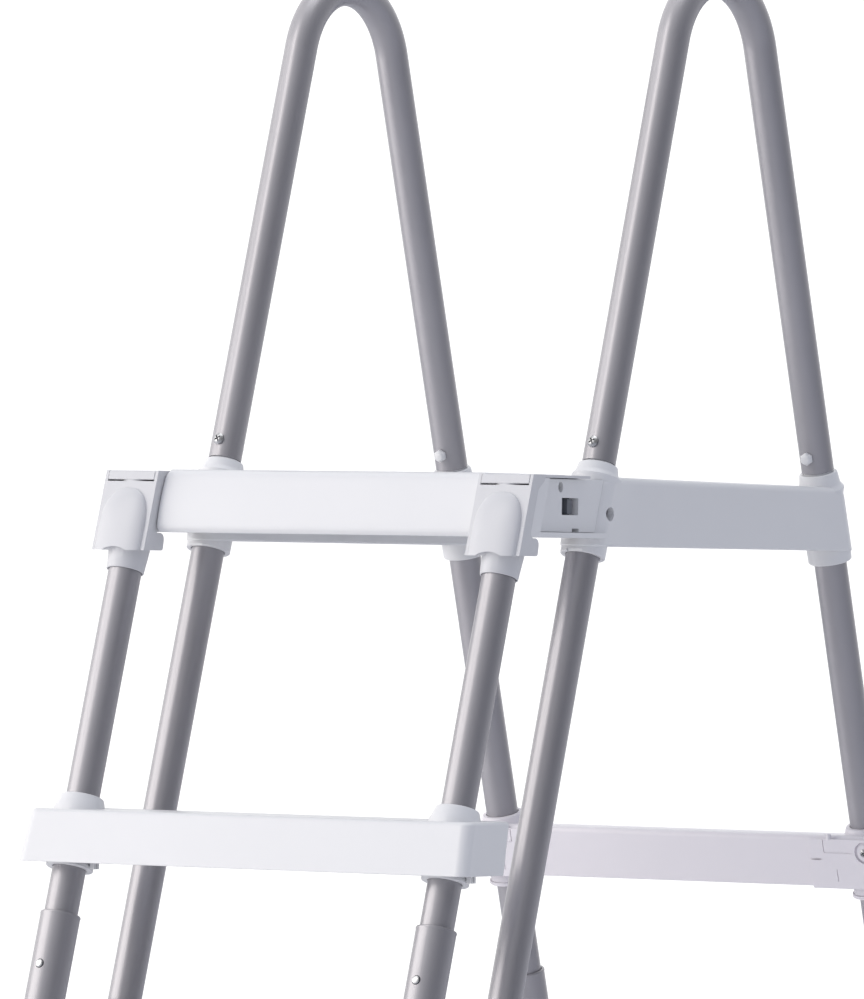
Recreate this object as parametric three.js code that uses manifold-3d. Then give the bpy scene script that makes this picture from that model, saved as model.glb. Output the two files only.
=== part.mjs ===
// A-frame pool ladder with a lift-off entry section, for an above-ground pool with a 1.22 m wall.
// Millimetres, +Z up. X runs across the ladder, +Y points to the pool side. The ground is Z = 0.
import * as THREE from "three";
import { mergeVertices } from "three/addons/utils/BufferGeometryUtils.js";
import Module from "manifold-3d";

const wasm = await Module();
wasm.setup();

// ---- Driving dimensions ------------------------------------------------------------------------

const PLATFORM_UNDERSIDE = 1220; // clears the top rail of a 1.22 m pool wall
const PLATFORM_HEIGHT = 66; // at the entry side
const DECK_FALL = 4; // the platform is this much lower at the pool side, so that water drains
const LEG_SPACING = 426; // left to right, between the leg centre lines
const LEG_SPREAD = 452; // front to rear, between the leg centre lines at the platform underside
const LEAN = 0.3; // every tube runs this far outwards for each unit of drop
const SECTION_OFFSET = 136; // the entry section's stringers stand this far in front of the front legs
const STRINGER_INSET = 4; // the stringers stand this much closer together than the legs

const TUBE_RADIUS = 16; // 32 mm upper tubes and handrails
const TUBE_WALL = 1.4;
const LOWER_TUBE_RADIUS = 19; // 38 mm lower tubes
const TUBE_OVERLAP = 92; // upper tube inside lower tube
const STRINGER_JOINT = 354; // top of the lower stringer tube, below the platform underside
const REAR_LEG_JOINT = 430;
const FRONT_LEG_JOINT = 442;
const BUTTON_DROP = 53; // snap button below the top of the lower tube
const BUTTON_RADIUS = 4;
const BUTTON_PROUD = 1.4;

const RAIL_BEND_RADIUS = 84; // centre line of the handrail's bend
const COLLAR_HEIGHT = 11; // socket collar above the deck
const COLLAR_RADIUS = 21;
const SPIGOT_HEIGHT = 46; // plug inside the handrail's end
const RAIL_BOLT_HEIGHT = 15; // bolt above the end of the handrail, along the tube
const RAIL_BOLT_RADIUS = 3;
const BOLT_HEAD_RADIUS = 4.8;
const BOLT_HEAD_HEIGHT = 2.6;
const NUT_RADIUS = 6.6;
const NUT_HEIGHT = 6;

const SIDE_HALF_WIDTH = 23; // side moulding, each way from the leg centre line; its ends are round
const SIDE_EDGE = 5; // rounding of its long edges
const SIDE_WALL = 4;
const SOCKET_RADIUS = 21.5; // round boss for the leg, under the side moulding
const SOCKET_DROP = 10;
const SOCKET_DEPTH = 50; // leg tube inside the platform

const NOSE_SETBACK = 14; // platform nose behind the front of the hanger caps
const NOSE_BOTTOM = 7.7; // of the beam between the caps
const NOSE_TOP_RISE = 1.5; // its top above the side mouldings
const CHEEK_DEPTH = 17; // front cheek of the latch block
const PANEL_INSET = 9; // latch panel inside the cheek's outer face
const PANEL_THICKNESS = 8;
const PANEL_SETBACK = 4.5; // panel's front edge behind the cheek
const PANEL_BOTTOM = 13; // above the platform underside
const DECK_THICKNESS = 4;
const DECK_APRON = 12; // lower edge of the rear apron
const DECK_RIB = 3;
const DECK_RIB_COUNT = 4;
const TREAD_COUNT = 14;
const TREAD_WIDTH = 7;
const TREAD_HEIGHT = 1.4;
const TREAD_MARGIN = 14; // plain border round the treads

const CAP_WIDTH = 60;
const CAP_WALL = 3;
const CAP_PLATE = 4;
const CAP_FACE = 19; // cap front face in front of the stringer centre line
const CAP_BOTTOM = 10; // below the platform underside
const CAP_BOSS_RADIUS = 19; // socket behind the face plate
const CAP_BULGE_RADIUS = 22.5; // half-round front of the socket, proud of the face plate
const CAP_BULGE_TOP = 50;
const CAP_RING_RADIUS = 19;
const CAP_RING_BOTTOM = 34;
const CAP_TOP_ARM = 22; // depth of the side walls over the nose
const CAP_FOOT = 32; // and under it

const LID_THICKNESS = 2.7;
const LID_LIP = 9; // height of the lip that a finger lifts
const LID_LENGTH = 106;
const LID_HINGE_RADIUS = 2.4;
const WINDOW_LENGTH = 29;
const WINDOW_HEIGHT = 16;
const WINDOW_SETBACK = 89; // window centre behind the cap face
const WINDOW_RISE = 37;
const PAWL_TRAVEL = 4;
const PANEL_SLOTS = [
  // centre behind the window's, centre above the underside, length, height
  { back: -16.7, rise: 55, length: 8.5, height: 10 },
  { back: -29, rise: 38, length: 8.5, height: 12 },
  { back: 6.5, rise: 15, length: 25, height: 4 },
];

const STEP_RISE = 321; // between the tops of neighbouring steps
const STEP_COUNT = 3;
const ENTRY_STEP_TOP = 255; // first entry step below the platform underside
const POOL_STEP_TOP = 280; // first pool step below the platform underside
const STEP_OVERHANG = 35; // step past the leg centre lines, at each end
const STEP_DEPTH = 75;
const STEP_FRONT = 33.5; // front of the step ahead of the tube centre line
const ENTRY_STEP_HEIGHT = 49.5;
const POOL_STEP_HEIGHT = 51;
const STEP_DRAFT = 4; // each end is this much longer at the bottom
const STEP_CORNER = 11;
const STEP_EDGE = 4;
const STEP_WALL = 3.5;
const STEP_COLLAR = 8.5; // collar wall at the step's top
const STEP_COLLAR_HEIGHT = 11;
const STEP_RING_DROP = 7;
const CLAMP_WIDTH = 84;
const CLAMP_THICKNESS = 4;
const CLAMP_RECESS_RADIUS = 8;
const CLAMP_INBOARD = 6; // its middle, inboard of the leg

const FOOT_HEIGHT = 78;
const FOOT_WALL = 5;
const FOOT_SOLE = 8;
const FOOT_PAD = 7; // sole past the sleeve
const BASE_BAR_HEIGHT = 21; // centre line of the cross bar above the ground
const BASE_SLEEVE_LENGTH = 34;

const FIT = 0.3; // gap between pieces that touch
const FAR = 2000; // reach of a block that trims a solid to one side of a plane
const SIDES = 20; // facets round a tube and its bore
const BOSS_SIDES = 12; // round a boss, where nothing fits
const SMALL_SIDES = 10; // round a bolt or a button
const RAIL_BEND_STEPS = 10;

// ---- Materials ---------------------------------------------------------------------------------

const finish = (color, roughness, metalness) =>
  new THREE.MeshStandardMaterial({ color, roughness, metalness });
const whitePlastic = finish(0xeeeef0, 0.4, 0);
const poolPlastic = finish(0xe4e2e6, 0.45, 0);
const powderCoat = finish(0x9a959a, 0.35, 0.3);
const zinc = finish(0xb8babd, 0.3, 0.9);
const greyPlastic = finish(0x70747a, 0.5, 0);
const footRubber = finish(0xd8d8da, 0.7, 0);

// ---- Solids ------------------------------------------------------------------------------------

const SLOPE = Math.atan(LEAN);
const alongTube = (rise) => rise / Math.cos(SLOPE);
const vec = (x, y, z) => new THREE.Vector3(x, y, z);

// A closed three.js geometry as a solid that can be joined and cut.
function solid(geometry) {
  const bare = geometry.index ? geometry.toNonIndexed() : geometry.clone();
  bare.deleteAttribute("normal");
  bare.deleteAttribute("uv");
  const merged = mergeVertices(bare, 1e-4);
  return new wasm.Manifold(
    new wasm.Mesh({
      numProp: 3,
      vertProperties: new Float32Array(merged.attributes.position.array),
      triVerts: new Uint32Array(merged.index.array),
    }),
  );
}

const join = (...solids) => solids.reduce((a, b) => a.add(b));
const cut = (body, ...tools) => tools.reduce((a, b) => a.subtract(b), body);

// A named mesh of a solid or a geometry.
function piece(name, shape, material) {
  let geometry = shape;
  if (!shape.isBufferGeometry) {
    const made = shape.getMesh();
    geometry = new THREE.BufferGeometry();
    geometry.setAttribute("position", new THREE.BufferAttribute(made.vertProperties, 3));
    geometry.setIndex(new THREE.BufferAttribute(made.triVerts, 1));
    geometry.computeVertexNormals();
  }
  const mesh = new THREE.Mesh(geometry, material);
  mesh.name = name;
  return mesh;
}

function block(x0, x1, y0, y1, z0, z1) {
  const box = new THREE.BoxGeometry(x1 - x0, y1 - y0, z1 - z0);
  return solid(box.translate((x0 + x1) / 2, (y0 + y1) / 2, (z0 + z1) / 2));
}

// A cylinder or cone between two points.
function rod(from, to, radius, endRadius = radius, sides = SIDES) {
  const axis = to.clone().sub(from);
  const shape = new THREE.CylinderGeometry(endRadius, radius, axis.length(), sides);
  const turn = new THREE.Quaternion().setFromUnitVectors(vec(0, 1, 0), axis.normalize());
  shape.applyQuaternion(turn);
  const middle = from.clone().add(to).multiplyScalar(0.5);
  return solid(shape.translate(middle.x, middle.y, middle.z));
}

// A shape drawn in Y and Z, extruded from one X to another, with rounded long edges.
function profileAlongX(points, x0, x1, edge = 0) {
  const outline = new THREE.Shape(points.map(([y, z]) => new THREE.Vector2(y, z)));
  const shape = new THREE.ExtrudeGeometry(outline, {
    depth: x1 - x0 - 2 * edge,
    bevelEnabled: edge > 0,
    bevelThickness: edge,
    bevelSize: edge,
    bevelOffset: -edge,
    bevelSegments: 2,
  });
  shape.rotateX(Math.PI / 2);
  shape.rotateZ(Math.PI / 2);
  return solid(shape.translate(x0 + edge, 0, 0));
}

// A tube round the local Z axis, from z0 to z1.
function tubeGeometry(outer, inner, z0, z1) {
  const profile = [
    [inner, z0],
    [outer, z0],
    [outer, z1],
    [inner, z1],
    [inner, z0],
  ].map(([r, z]) => new THREE.Vector2(r, z));
  return new THREE.LatheGeometry(profile, SIDES).rotateX(Math.PI / 2);
}

// A group at the place where a tube line crosses the platform underside, with Z up along the tube.
// side is -1 or 1 in X; lean is 1 where the line runs back as it rises, and -1 where it runs forward.
function tubeLine(x, y, lean) {
  const line = new THREE.Group();
  line.position.set(x, y, PLATFORM_UNDERSIDE);
  line.rotation.x = -lean * SLOPE;
  return line;
}

const SIDE_NAMES = [
  [-1, "left"],
  [1, "right"],
];
const legX = LEG_SPACING / 2;
const legY = LEG_SPREAD / 2;
const stringerX = (LEG_SPACING - STRINGER_INSET) / 2;
const stringerY = -legY - SECTION_OFFSET;
const tubeInner = TUBE_RADIUS - TUBE_WALL;
const ladder = new THREE.Group();
const section = new THREE.Group();

// Points on the tube lines, by rise above the platform underside.
const frontLegAt = (x, rise) => vec(x, -legY + LEAN * rise, rise);
const rearLegAt = (x, rise) => vec(x, legY - LEAN * rise, rise);
const stringerAt = (x, rise) => vec(x, stringerY + LEAN * rise, rise);

// ---- Handrails ---------------------------------------------------------------------------------

// Two straight legs joined by a bend. Its steps fall on the bend, where they are needed.
class RailCurve extends THREE.Curve {
  constructor(foot, bendCentre, bendSteps) {
    super();
    this.foot = foot;
    this.bendCentre = bendCentre;
    this.bendSteps = bendSteps;
  }
  getPoint(t, target = new THREE.Vector3()) {
    const at = t * (this.bendSteps + 2) - 1;
    if (at <= 0) return target.lerpVectors(this.foot(-1), this.bend(0), at + 1);
    if (at >= this.bendSteps) return target.lerpVectors(this.bend(1), this.foot(1), at - this.bendSteps);
    return target.copy(this.bend(at / this.bendSteps));
  }
  bend(share) {
    const angle = Math.PI - SLOPE - share * (Math.PI - 2 * SLOPE);
    const { y, z } = this.bendCentre;
    return vec(0, y + RAIL_BEND_RADIUS * Math.cos(angle), z + RAIL_BEND_RADIUS * Math.sin(angle));
  }
  getUtoTmapping(u) {
    return u;
  }
}

const railFoot = PLATFORM_HEIGHT + COLLAR_HEIGHT;
const bendRise = (legY - RAIL_BEND_RADIUS / Math.cos(SLOPE)) / LEAN;

function handrail() {
  const foot = (end) => vec(0, end * (legY - LEAN * railFoot), railFoot);
  const curve = new RailCurve(foot, vec(0, 0, bendRise), RAIL_BEND_STEPS);
  const ring = new THREE.Shape().absarc(0, 0, TUBE_RADIUS, 0, 2 * Math.PI);
  ring.holes.push(new THREE.Path().absarc(0, 0, tubeInner, 0, 2 * Math.PI, true));
  const bent = new THREE.ExtrudeGeometry(ring, {
    steps: RAIL_BEND_STEPS + 2,
    extrudePath: curve,
    curveSegments: SIDES / 2,
    bevelEnabled: false,
  });
  return cut(solid(bent), ...[-1, 1].map((end) => boltPath(end, RAIL_BOLT_RADIUS + FIT)));
}

// The bolt through a handrail end lies square to the tube; it starts on the outer face of the A-frame.
function boltPoint(end, depth) {
  const rise = railFoot + RAIL_BOLT_HEIGHT * Math.cos(SLOPE);
  const centre = vec(0, end * (legY - LEAN * rise), rise);
  return centre.add(vec(0, end * depth * Math.cos(SLOPE), depth * Math.sin(SLOPE)));
}
function boltPath(end, radius) {
  const reach = TUBE_RADIUS + BOLT_HEAD_HEIGHT + NUT_HEIGHT;
  return rod(boltPoint(end, reach), boltPoint(end, -reach), radius, radius, SMALL_SIDES);
}

function railBolt(end) {
  const seat = TUBE_RADIUS + FIT;
  const crown = boltPoint(end, seat + BOLT_HEAD_HEIGHT);
  const head = rod(boltPoint(end, seat), crown, BOLT_HEAD_RADIUS, BOLT_HEAD_RADIUS - 1.4, SMALL_SIDES);
  const tip = boltPoint(end, -seat - NUT_HEIGHT / 2);
  const shank = rod(boltPoint(end, seat + 1), tip, RAIL_BOLT_RADIUS, RAIL_BOLT_RADIUS, SMALL_SIDES);
  return join(head, shank);
}

function railNut(end) {
  const inner = boltPoint(end, -TUBE_RADIUS - FIT);
  const outer = boltPoint(end, -TUBE_RADIUS - FIT - NUT_HEIGHT);
  const shankEnd = boltPoint(end, -TUBE_RADIUS - FIT - NUT_HEIGHT / 2 - FIT);
  const boreRadius = RAIL_BOLT_RADIUS + FIT;
  const bore = rod(boltPoint(end, -TUBE_RADIUS + 2), shankEnd, boreRadius, boreRadius, SMALL_SIDES);
  return cut(rod(inner, outer, NUT_RADIUS, NUT_RADIUS - 1, 6), bore);
}

const rails = new THREE.Group();
rails.position.z = PLATFORM_UNDERSIDE;
for (const [side, name] of SIDE_NAMES) {
  const half = new THREE.Group();
  half.position.x = side * legX;
  half.add(piece(`handrail_${name}`, handrail(), powderCoat));
  for (const [end, where] of [
    [-1, "front"],
    [1, "rear"],
  ]) {
    half.add(piece(`rail_bolt_${where}_${name}`, railBolt(end), zinc));
    half.add(piece(`rail_nut_${where}_${name}`, railNut(end), whitePlastic));
  }
  rails.add(half);
}
ladder.add(rails);

// ---- Platform ----------------------------------------------------------------------------------

const capOuter = stringerX + CAP_WIDTH / 2;
const capInner = stringerX - CAP_WIDTH / 2;
const sideOuter = legX + SIDE_HALF_WIDTH;
const sideInner = legX - SIDE_HALF_WIDTH;
const deckTop = (y) => PLATFORM_HEIGHT - (DECK_FALL * (y + legY)) / LEG_SPREAD;
const capFaceAt = (rise) => stringerY - CAP_FACE + LEAN * rise;
const noseAt = (rise) => capFaceAt(rise) + NOSE_SETBACK;
const lidBack = capFaceAt(PLATFORM_HEIGHT) + LID_LENGTH;
const lidUnder = PLATFORM_HEIGHT - LID_THICKNESS - FIT;
const lidHingeRise = PLATFORM_HEIGHT - LID_THICKNESS;
const cheekOuter = capOuter - 1;
const panelOuter = cheekOuter - PANEL_INSET;
const panelInner = panelOuter - PANEL_THICKNESS;
const bossRadius = SIDE_HALF_WIDTH;
const blockBottom = NOSE_BOTTOM;
const noseCornerCut = 5; // the nose's upper and lower edges are cut back by this much
const windowY = capFaceAt(WINDOW_RISE) + WINDOW_SETBACK;

// The nose's front outline between two heights, from the bottom up.
function noseOutline(bottom, top, setback = 0) {
  return [
    [noseAt(bottom) + noseCornerCut + setback, bottom],
    [noseAt(bottom + noseCornerCut) + setback, bottom + noseCornerCut],
    [noseAt(top - noseCornerCut) + setback, top - noseCornerCut],
    [noseAt(top) + noseCornerCut + setback, top],
  ];
}

// The right side moulding: a beam with a socket at each end and the latch block in front of it.
function sideMoulding() {
  const rearTop = legY - LEAN * (PLATFORM_HEIGHT - DECK_FALL);
  const frontTop = -legY + LEAN * PLATFORM_HEIGHT;
  const beamOutline = [
    [legY, 0],
    [rearTop, deckTop(rearTop)],
    [frontTop, deckTop(frontTop)],
    [-legY, 0],
  ];
  const beam = profileAlongX(beamOutline, sideInner, sideOuter, SIDE_EDGE);
  const hollow = block(
    sideInner + SIDE_WALL,
    sideOuter - SIDE_WALL,
    -legY + bossRadius + LEAN * PLATFORM_HEIGHT,
    legY - bossRadius - LEAN * PLATFORM_HEIGHT,
    -1,
    PLATFORM_HEIGHT - DECK_FALL - SIDE_WALL,
  );
  const blockOutline = [...noseOutline(blockBottom, lidUnder), [-legY, lidUnder], [-legY, blockBottom]];
  const latchBlock = profileAlongX(blockOutline, capInner + 1, cheekOuter);
  const recessTop = PLATFORM_HEIGHT + 1;
  const panelRecess = profileAlongX(
    [
      [noseAt(PANEL_BOTTOM) + CHEEK_DEPTH, PANEL_BOTTOM - FIT],
      [-legY + LEAN * PLATFORM_HEIGHT, PANEL_BOTTOM - FIT],
      [-legY + LEAN * PLATFORM_HEIGHT, recessTop],
      [noseAt(recessTop) + CHEEK_DEPTH, recessTop],
    ],
    panelInner - FIT,
    cheekOuter + 1,
  );
  const pocket = block(
    sideInner + SIDE_WALL,
    panelInner - SIDE_WALL,
    noseAt(WINDOW_RISE) + CHEEK_DEPTH + 16,
    -legY - bossRadius - 2,
    -1,
    lidUnder - SIDE_WALL,
  );
  const pawlSlot = block(
    panelInner - SIDE_WALL - 1,
    panelInner + 1,
    windowY - WINDOW_LENGTH / 2,
    windowY + WINDOW_LENGTH / 2 + PAWL_TRAVEL + 2,
    WINDOW_RISE - WINDOW_HEIGHT / 2 - 1,
    WINDOW_RISE + WINDOW_HEIGHT / 2 + 1,
  );
  // The hanger cap's socket nests in this channel, which is open to the front.
  const channelRadius = CAP_BOSS_RADIUS + 1;
  const channel = join(
    rod(stringerAt(stringerX, -20), stringerAt(stringerX, 90), channelRadius),
    profileAlongX(
      [
        [stringerY - 80 - LEAN * 20, -20],
        [stringerY - LEAN * 20, -20],
        [stringerY + LEAN * 90, 90],
        [stringerY - 80 + LEAN * 90, 90],
      ],
      stringerX - channelRadius,
      stringerX + channelRadius,
    ),
  );
  const hingeGroove = rod(
    vec(capInner, lidBack, lidHingeRise),
    vec(capOuter, lidBack, lidHingeRise),
    LID_HINGE_RADIUS + FIT + 0.2,
  );
  const front = cut(latchBlock, panelRecess, pocket, pawlSlot, channel, hingeGroove);

  const bosses = [frontLegAt, rearLegAt].map((at) =>
    cut(
      rod(at(legX, -20), at(legX, PLATFORM_HEIGHT - DECK_FALL - 2), bossRadius),
      block(-FAR, FAR, -FAR, FAR, -FAR, 0),
    ),
  );
  let moulding = join(cut(beam, hollow), front, ...bosses);
  for (const at of [frontLegAt, rearLegAt]) {
    const top = at === frontLegAt ? PLATFORM_HEIGHT : PLATFORM_HEIGHT - DECK_FALL;
    const socket = rod(at(legX, -SOCKET_DROP), at(legX, 8), SOCKET_RADIUS, SOCKET_RADIUS, BOSS_SIDES);
    const collar = rod(
      at(legX, top - 3),
      at(legX, railFoot - FIT),
      COLLAR_RADIUS + 1.5,
      TUBE_RADIUS + 2,
      BOSS_SIDES,
    );
    const spigot = rod(at(legX, top), at(legX, railFoot + SPIGOT_HEIGHT), tubeInner - FIT);
    moulding = join(moulding, socket, collar, spigot);
    moulding = cut(moulding, rod(at(legX, -60), at(legX, SOCKET_DEPTH), TUBE_RADIUS + FIT));
  }
  const boltHoles = [-1, 1].map((end) => boltPath(end, RAIL_BOLT_RADIUS + FIT).translate([legX, 0, 0]));
  return cut(moulding, ...boltHoles);
}

// The latch panel closes the side of the block; the pawl shows in its window.
function latchPanel() {
  const frontAt = (rise) => noseAt(rise) + CHEEK_DEPTH + PANEL_SETBACK;
  const [bottom, top] = [PANEL_BOTTOM, lidUnder - FIT];
  const panelEnd = 8; // its rear edge is hidden by the leg's boss
  const outline = [
    [frontAt(bottom), bottom],
    [-legY - panelEnd + LEAN * bottom, bottom],
    [-legY - panelEnd + LEAN * top, top],
    [frontAt(top), top],
  ];
  const plate = cut(
    profileAlongX(outline, panelInner, panelOuter),
    rod(frontLegAt(legX, -20), frontLegAt(legX, 90), bossRadius + 2 * FIT),
  );
  const through = (y0, y1, z0, z1) => block(panelInner - 1, panelOuter + 1, y0, y1, z0, z1);
  const windowCut = through(
    windowY - WINDOW_LENGTH / 2,
    windowY + WINDOW_LENGTH / 2,
    WINDOW_RISE - WINDOW_HEIGHT / 2,
    WINDOW_RISE + WINDOW_HEIGHT / 2,
  );
  const slots = PANEL_SLOTS.map(({ back, rise, length, height }) =>
    through(
      windowY + back - length / 2,
      windowY + back + length / 2,
      rise - height / 2,
      rise + height / 2,
    ),
  );
  return cut(plate, windowCut, ...slots);
}

// The pawl slides back behind the window when the lid is lifted.
function latchPawl() {
  const bar = block(
    panelInner - SIDE_WALL - 3,
    panelInner - 1,
    windowY - WINDOW_LENGTH / 2 + 1,
    windowY + WINDOW_LENGTH / 2 - 1,
    WINDOW_RISE - WINDOW_HEIGHT / 2,
    WINDOW_RISE + WINDOW_HEIGHT / 2,
  );
  const grip = block(
    panelInner - 2,
    panelInner + 4,
    windowY - 1,
    windowY + WINDOW_LENGTH / 2 - 5,
    WINDOW_RISE - WINDOW_HEIGHT / 2 + 1,
    WINDOW_RISE + WINDOW_HEIGHT / 2 - 1,
  );
  return join(bar, grip);
}

// The lid lies over the cap; its lip turns down in front and is flush with the cap's face.
function latchLid() {
  const edge = CAP_WALL + 0.6;
  const lipBottom = PLATFORM_HEIGHT - LID_LIP;
  const outline = [
    [capFaceAt(lipBottom), lipBottom],
    [capFaceAt(lipBottom) + CAP_PLATE, lipBottom],
    [capFaceAt(PLATFORM_HEIGHT - LID_THICKNESS) + CAP_PLATE, PLATFORM_HEIGHT - LID_THICKNESS],
    [lidBack, PLATFORM_HEIGHT - LID_THICKNESS],
    [lidBack, PLATFORM_HEIGHT],
    [capFaceAt(PLATFORM_HEIGHT), PLATFORM_HEIGHT],
  ];
  const plate = profileAlongX(outline, capInner + edge, capOuter - edge);
  const hinge = rod(
    vec(capInner + edge + 3, lidBack, lidHingeRise),
    vec(panelInner - 2, lidBack, lidHingeRise),
    LID_HINGE_RADIUS,
    LID_HINGE_RADIUS,
    SMALL_SIDES,
  );
  return join(plate, hinge);
}

// The deck is a channel that is open below, with a deeper nose between the hanger caps.
function platformDeck() {
  const halfWidth = sideInner - FIT;
  const rear = legY + bossRadius;
  const rearTop = rear - LEAN * (PLATFORM_HEIGHT - DECK_FALL);
  const noseTop = PLATFORM_HEIGHT + NOSE_TOP_RISE;
  const mainFront = -legY + FIT;
  const main = profileAlongX(
    [
      [mainFront, DECK_APRON],
      [rear - LEAN * DECK_APRON, DECK_APRON],
      [rearTop, deckTop(rearTop)],
      [mainFront, deckTop(mainFront)],
    ],
    -halfWidth,
    halfWidth,
  );
  const noseBack = mainFront + 20; // the nose runs this far into the deck
  const noseHalfWidth = capInner - 2;
  const nose = profileAlongX(
    [
      ...noseOutline(NOSE_BOTTOM, noseTop),
      [noseBack, deckTop(noseBack)],
      [noseBack, NOSE_BOTTOM + 5],
    ],
    -noseHalfWidth,
    noseHalfWidth,
    2,
  );
  const hollowFront = noseAt(0) + LEAN * PLATFORM_HEIGHT + noseCornerCut + 2;
  const hollowRear = rearTop - DECK_THICKNESS;
  const ribPitch = (2 * halfWidth - SIDE_WALL) / (DECK_RIB_COUNT + 1);
  const hollowTop = PLATFORM_HEIGHT - DECK_FALL - DECK_THICKNESS;
  const cells = [];
  for (let i = 0; i <= DECK_RIB_COUNT; i++) {
    const x0 = -halfWidth + SIDE_WALL + i * ribPitch;
    const x1 = x0 + ribPitch - DECK_RIB;
    const inNose = Math.max(Math.abs(x0), Math.abs(x1)) < capInner - SIDE_WALL;
    const front = inNose ? hollowFront : mainFront + SIDE_WALL;
    for (const [y0, y1] of [
      [front, -DECK_RIB],
      [DECK_RIB, hollowRear],
    ])
      cells.push(block(x0, x1, y0, y1, -50, hollowTop));
  }
  const treads = [];
  const treadHalf = halfWidth - TREAD_MARGIN;
  const firstTread = mainFront + TREAD_MARGIN;
  const treadPitch = (rearTop - TREAD_MARGIN - TREAD_WIDTH - firstTread) / (TREAD_COUNT - 1);
  for (let i = 0; i < TREAD_COUNT; i++) {
    const y = firstTread + i * treadPitch;
    treads.push(block(-treadHalf, treadHalf, y, y + TREAD_WIDTH, deckTop(y) - 1, deckTop(y) + TREAD_HEIGHT));
  }
  return join(cut(join(main, nose), ...cells), ...treads);
}

const platform = new THREE.Group();
platform.position.z = PLATFORM_UNDERSIDE;
for (const [side, name] of SIDE_NAMES) {
  const mirror = (shape) => (side > 0 ? shape : shape.mirror([1, 0, 0]));
  platform.add(piece(`platform_side_${name}`, mirror(sideMoulding()), whitePlastic));
  platform.add(piece(`latch_panel_${name}`, mirror(latchPanel()), whitePlastic));
  platform.add(piece(`latch_pawl_${name}`, mirror(latchPawl()), greyPlastic));
  platform.add(piece(`latch_lid_${name}`, mirror(latchLid()), whitePlastic));
}
platform.add(piece("platform_deck", platformDeck(), whitePlastic));
ladder.add(platform);

// ---- Legs and stringers ------------------------------------------------------------------------

// The upper tube reaches into the socket above and into the lower tube below, in the tube line's frame.
function upperTube(top, jointDrop, facing) {
  const z0 = -alongTube(jointDrop) - TUBE_OVERLAP;
  const tube = solid(tubeGeometry(TUBE_RADIUS, tubeInner, z0, alongTube(top)));
  return cut(tube, buttonHole(jointDrop, facing));
}

// The lower tube is necked where it takes the upper one.
function lowerTube(jointDrop, facing) {
  const top = -alongTube(jointDrop);
  const bottom = -alongTube(PLATFORM_UNDERSIDE) + FOOT_SOLE + LOWER_TUBE_RADIUS * LEAN + FIT;
  const neck = TUBE_RADIUS + FIT;
  const bore = LOWER_TUBE_RADIUS - TUBE_WALL;
  const neckEnd = top - TUBE_OVERLAP - 6;
  const profile = [
    [bore, bottom],
    [LOWER_TUBE_RADIUS, bottom],
    [LOWER_TUBE_RADIUS, top - 1.5],
    [LOWER_TUBE_RADIUS - 1, top],
    [neck, top],
    [neck, neckEnd + 3],
    [bore, neckEnd],
    [bore, bottom],
  ].map(([r, z]) => new THREE.Vector2(r, z));
  const tube = solid(new THREE.LatheGeometry(profile, SIDES).rotateX(Math.PI / 2));
  return cut(tube, buttonHole(jointDrop, facing));
}

const buttonHeight = (jointDrop) => -alongTube(jointDrop) - BUTTON_DROP;

function buttonHole(jointDrop, facing) {
  const z = buttonHeight(jointDrop);
  const radius = BUTTON_RADIUS + FIT;
  return rod(vec(0, facing * 6, z), vec(0, facing * 40, z), radius, radius, SMALL_SIDES);
}

// A snap button: its cap stands proud of the lower tube and its base stays inside the upper one.
function snapButton(jointDrop, facing) {
  const z = buttonHeight(jointDrop);
  const at = (r) => vec(0, facing * r, z);
  const stem = rod(at(7), at(LOWER_TUBE_RADIUS + BUTTON_PROUD - 1), BUTTON_RADIUS, BUTTON_RADIUS, SMALL_SIDES);
  const dome = rod(
    at(LOWER_TUBE_RADIUS + BUTTON_PROUD - 1.5),
    at(LOWER_TUBE_RADIUS + BUTTON_PROUD),
    BUTTON_RADIUS,
    BUTTON_RADIUS - 1.2,
    SMALL_SIDES,
  );
  const base = rod(at(6), at(9), BUTTON_RADIUS + 2, BUTTON_RADIUS + 2, SMALL_SIDES);
  return join(stem, dome, base);
}

// A foot: a sleeve round the tube's end with a flat sole on the ground.
function foot(x, y, lean, sleeveTowards) {
  const at = (height) => vec(x, y + lean * LEAN * (height - PLATFORM_UNDERSIDE), height);
  const outer = LOWER_TUBE_RADIUS + FOOT_WALL;
  const pad = outer + FOOT_PAD;
  const sole = rod(at(0), at(0).setZ(FOOT_SOLE), pad, pad - 2, BOSS_SIDES);
  let body = join(rod(at(-40), at(FOOT_HEIGHT), outer, outer, BOSS_SIDES), sole);
  if (sleeveTowards) {
    const bar = at(BASE_BAR_HEIGHT);
    const end = bar.clone().setX(x + sleeveTowards * (outer + BASE_SLEEVE_LENGTH));
    body = join(body, rod(bar, end, BASE_BAR_HEIGHT, BASE_BAR_HEIGHT, BOSS_SIDES));
    const socketEnd = bar.clone().setX(x + sleeveTowards * (outer - 1));
    body = cut(body, rod(socketEnd, end.setX(end.x + sleeveTowards), TUBE_RADIUS + FIT));
  }
  const bottom = alongTube(PLATFORM_UNDERSIDE) - FOOT_SOLE - LOWER_TUBE_RADIUS * LEAN;
  const tubeEnd = at(PLATFORM_UNDERSIDE - bottom * Math.cos(SLOPE));
  return cut(
    body,
    rod(tubeEnd, at(FOOT_HEIGHT + 20), LOWER_TUBE_RADIUS + FIT),
    block(-FAR, FAR, -FAR, FAR, -FAR, 0),
  );
}

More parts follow.
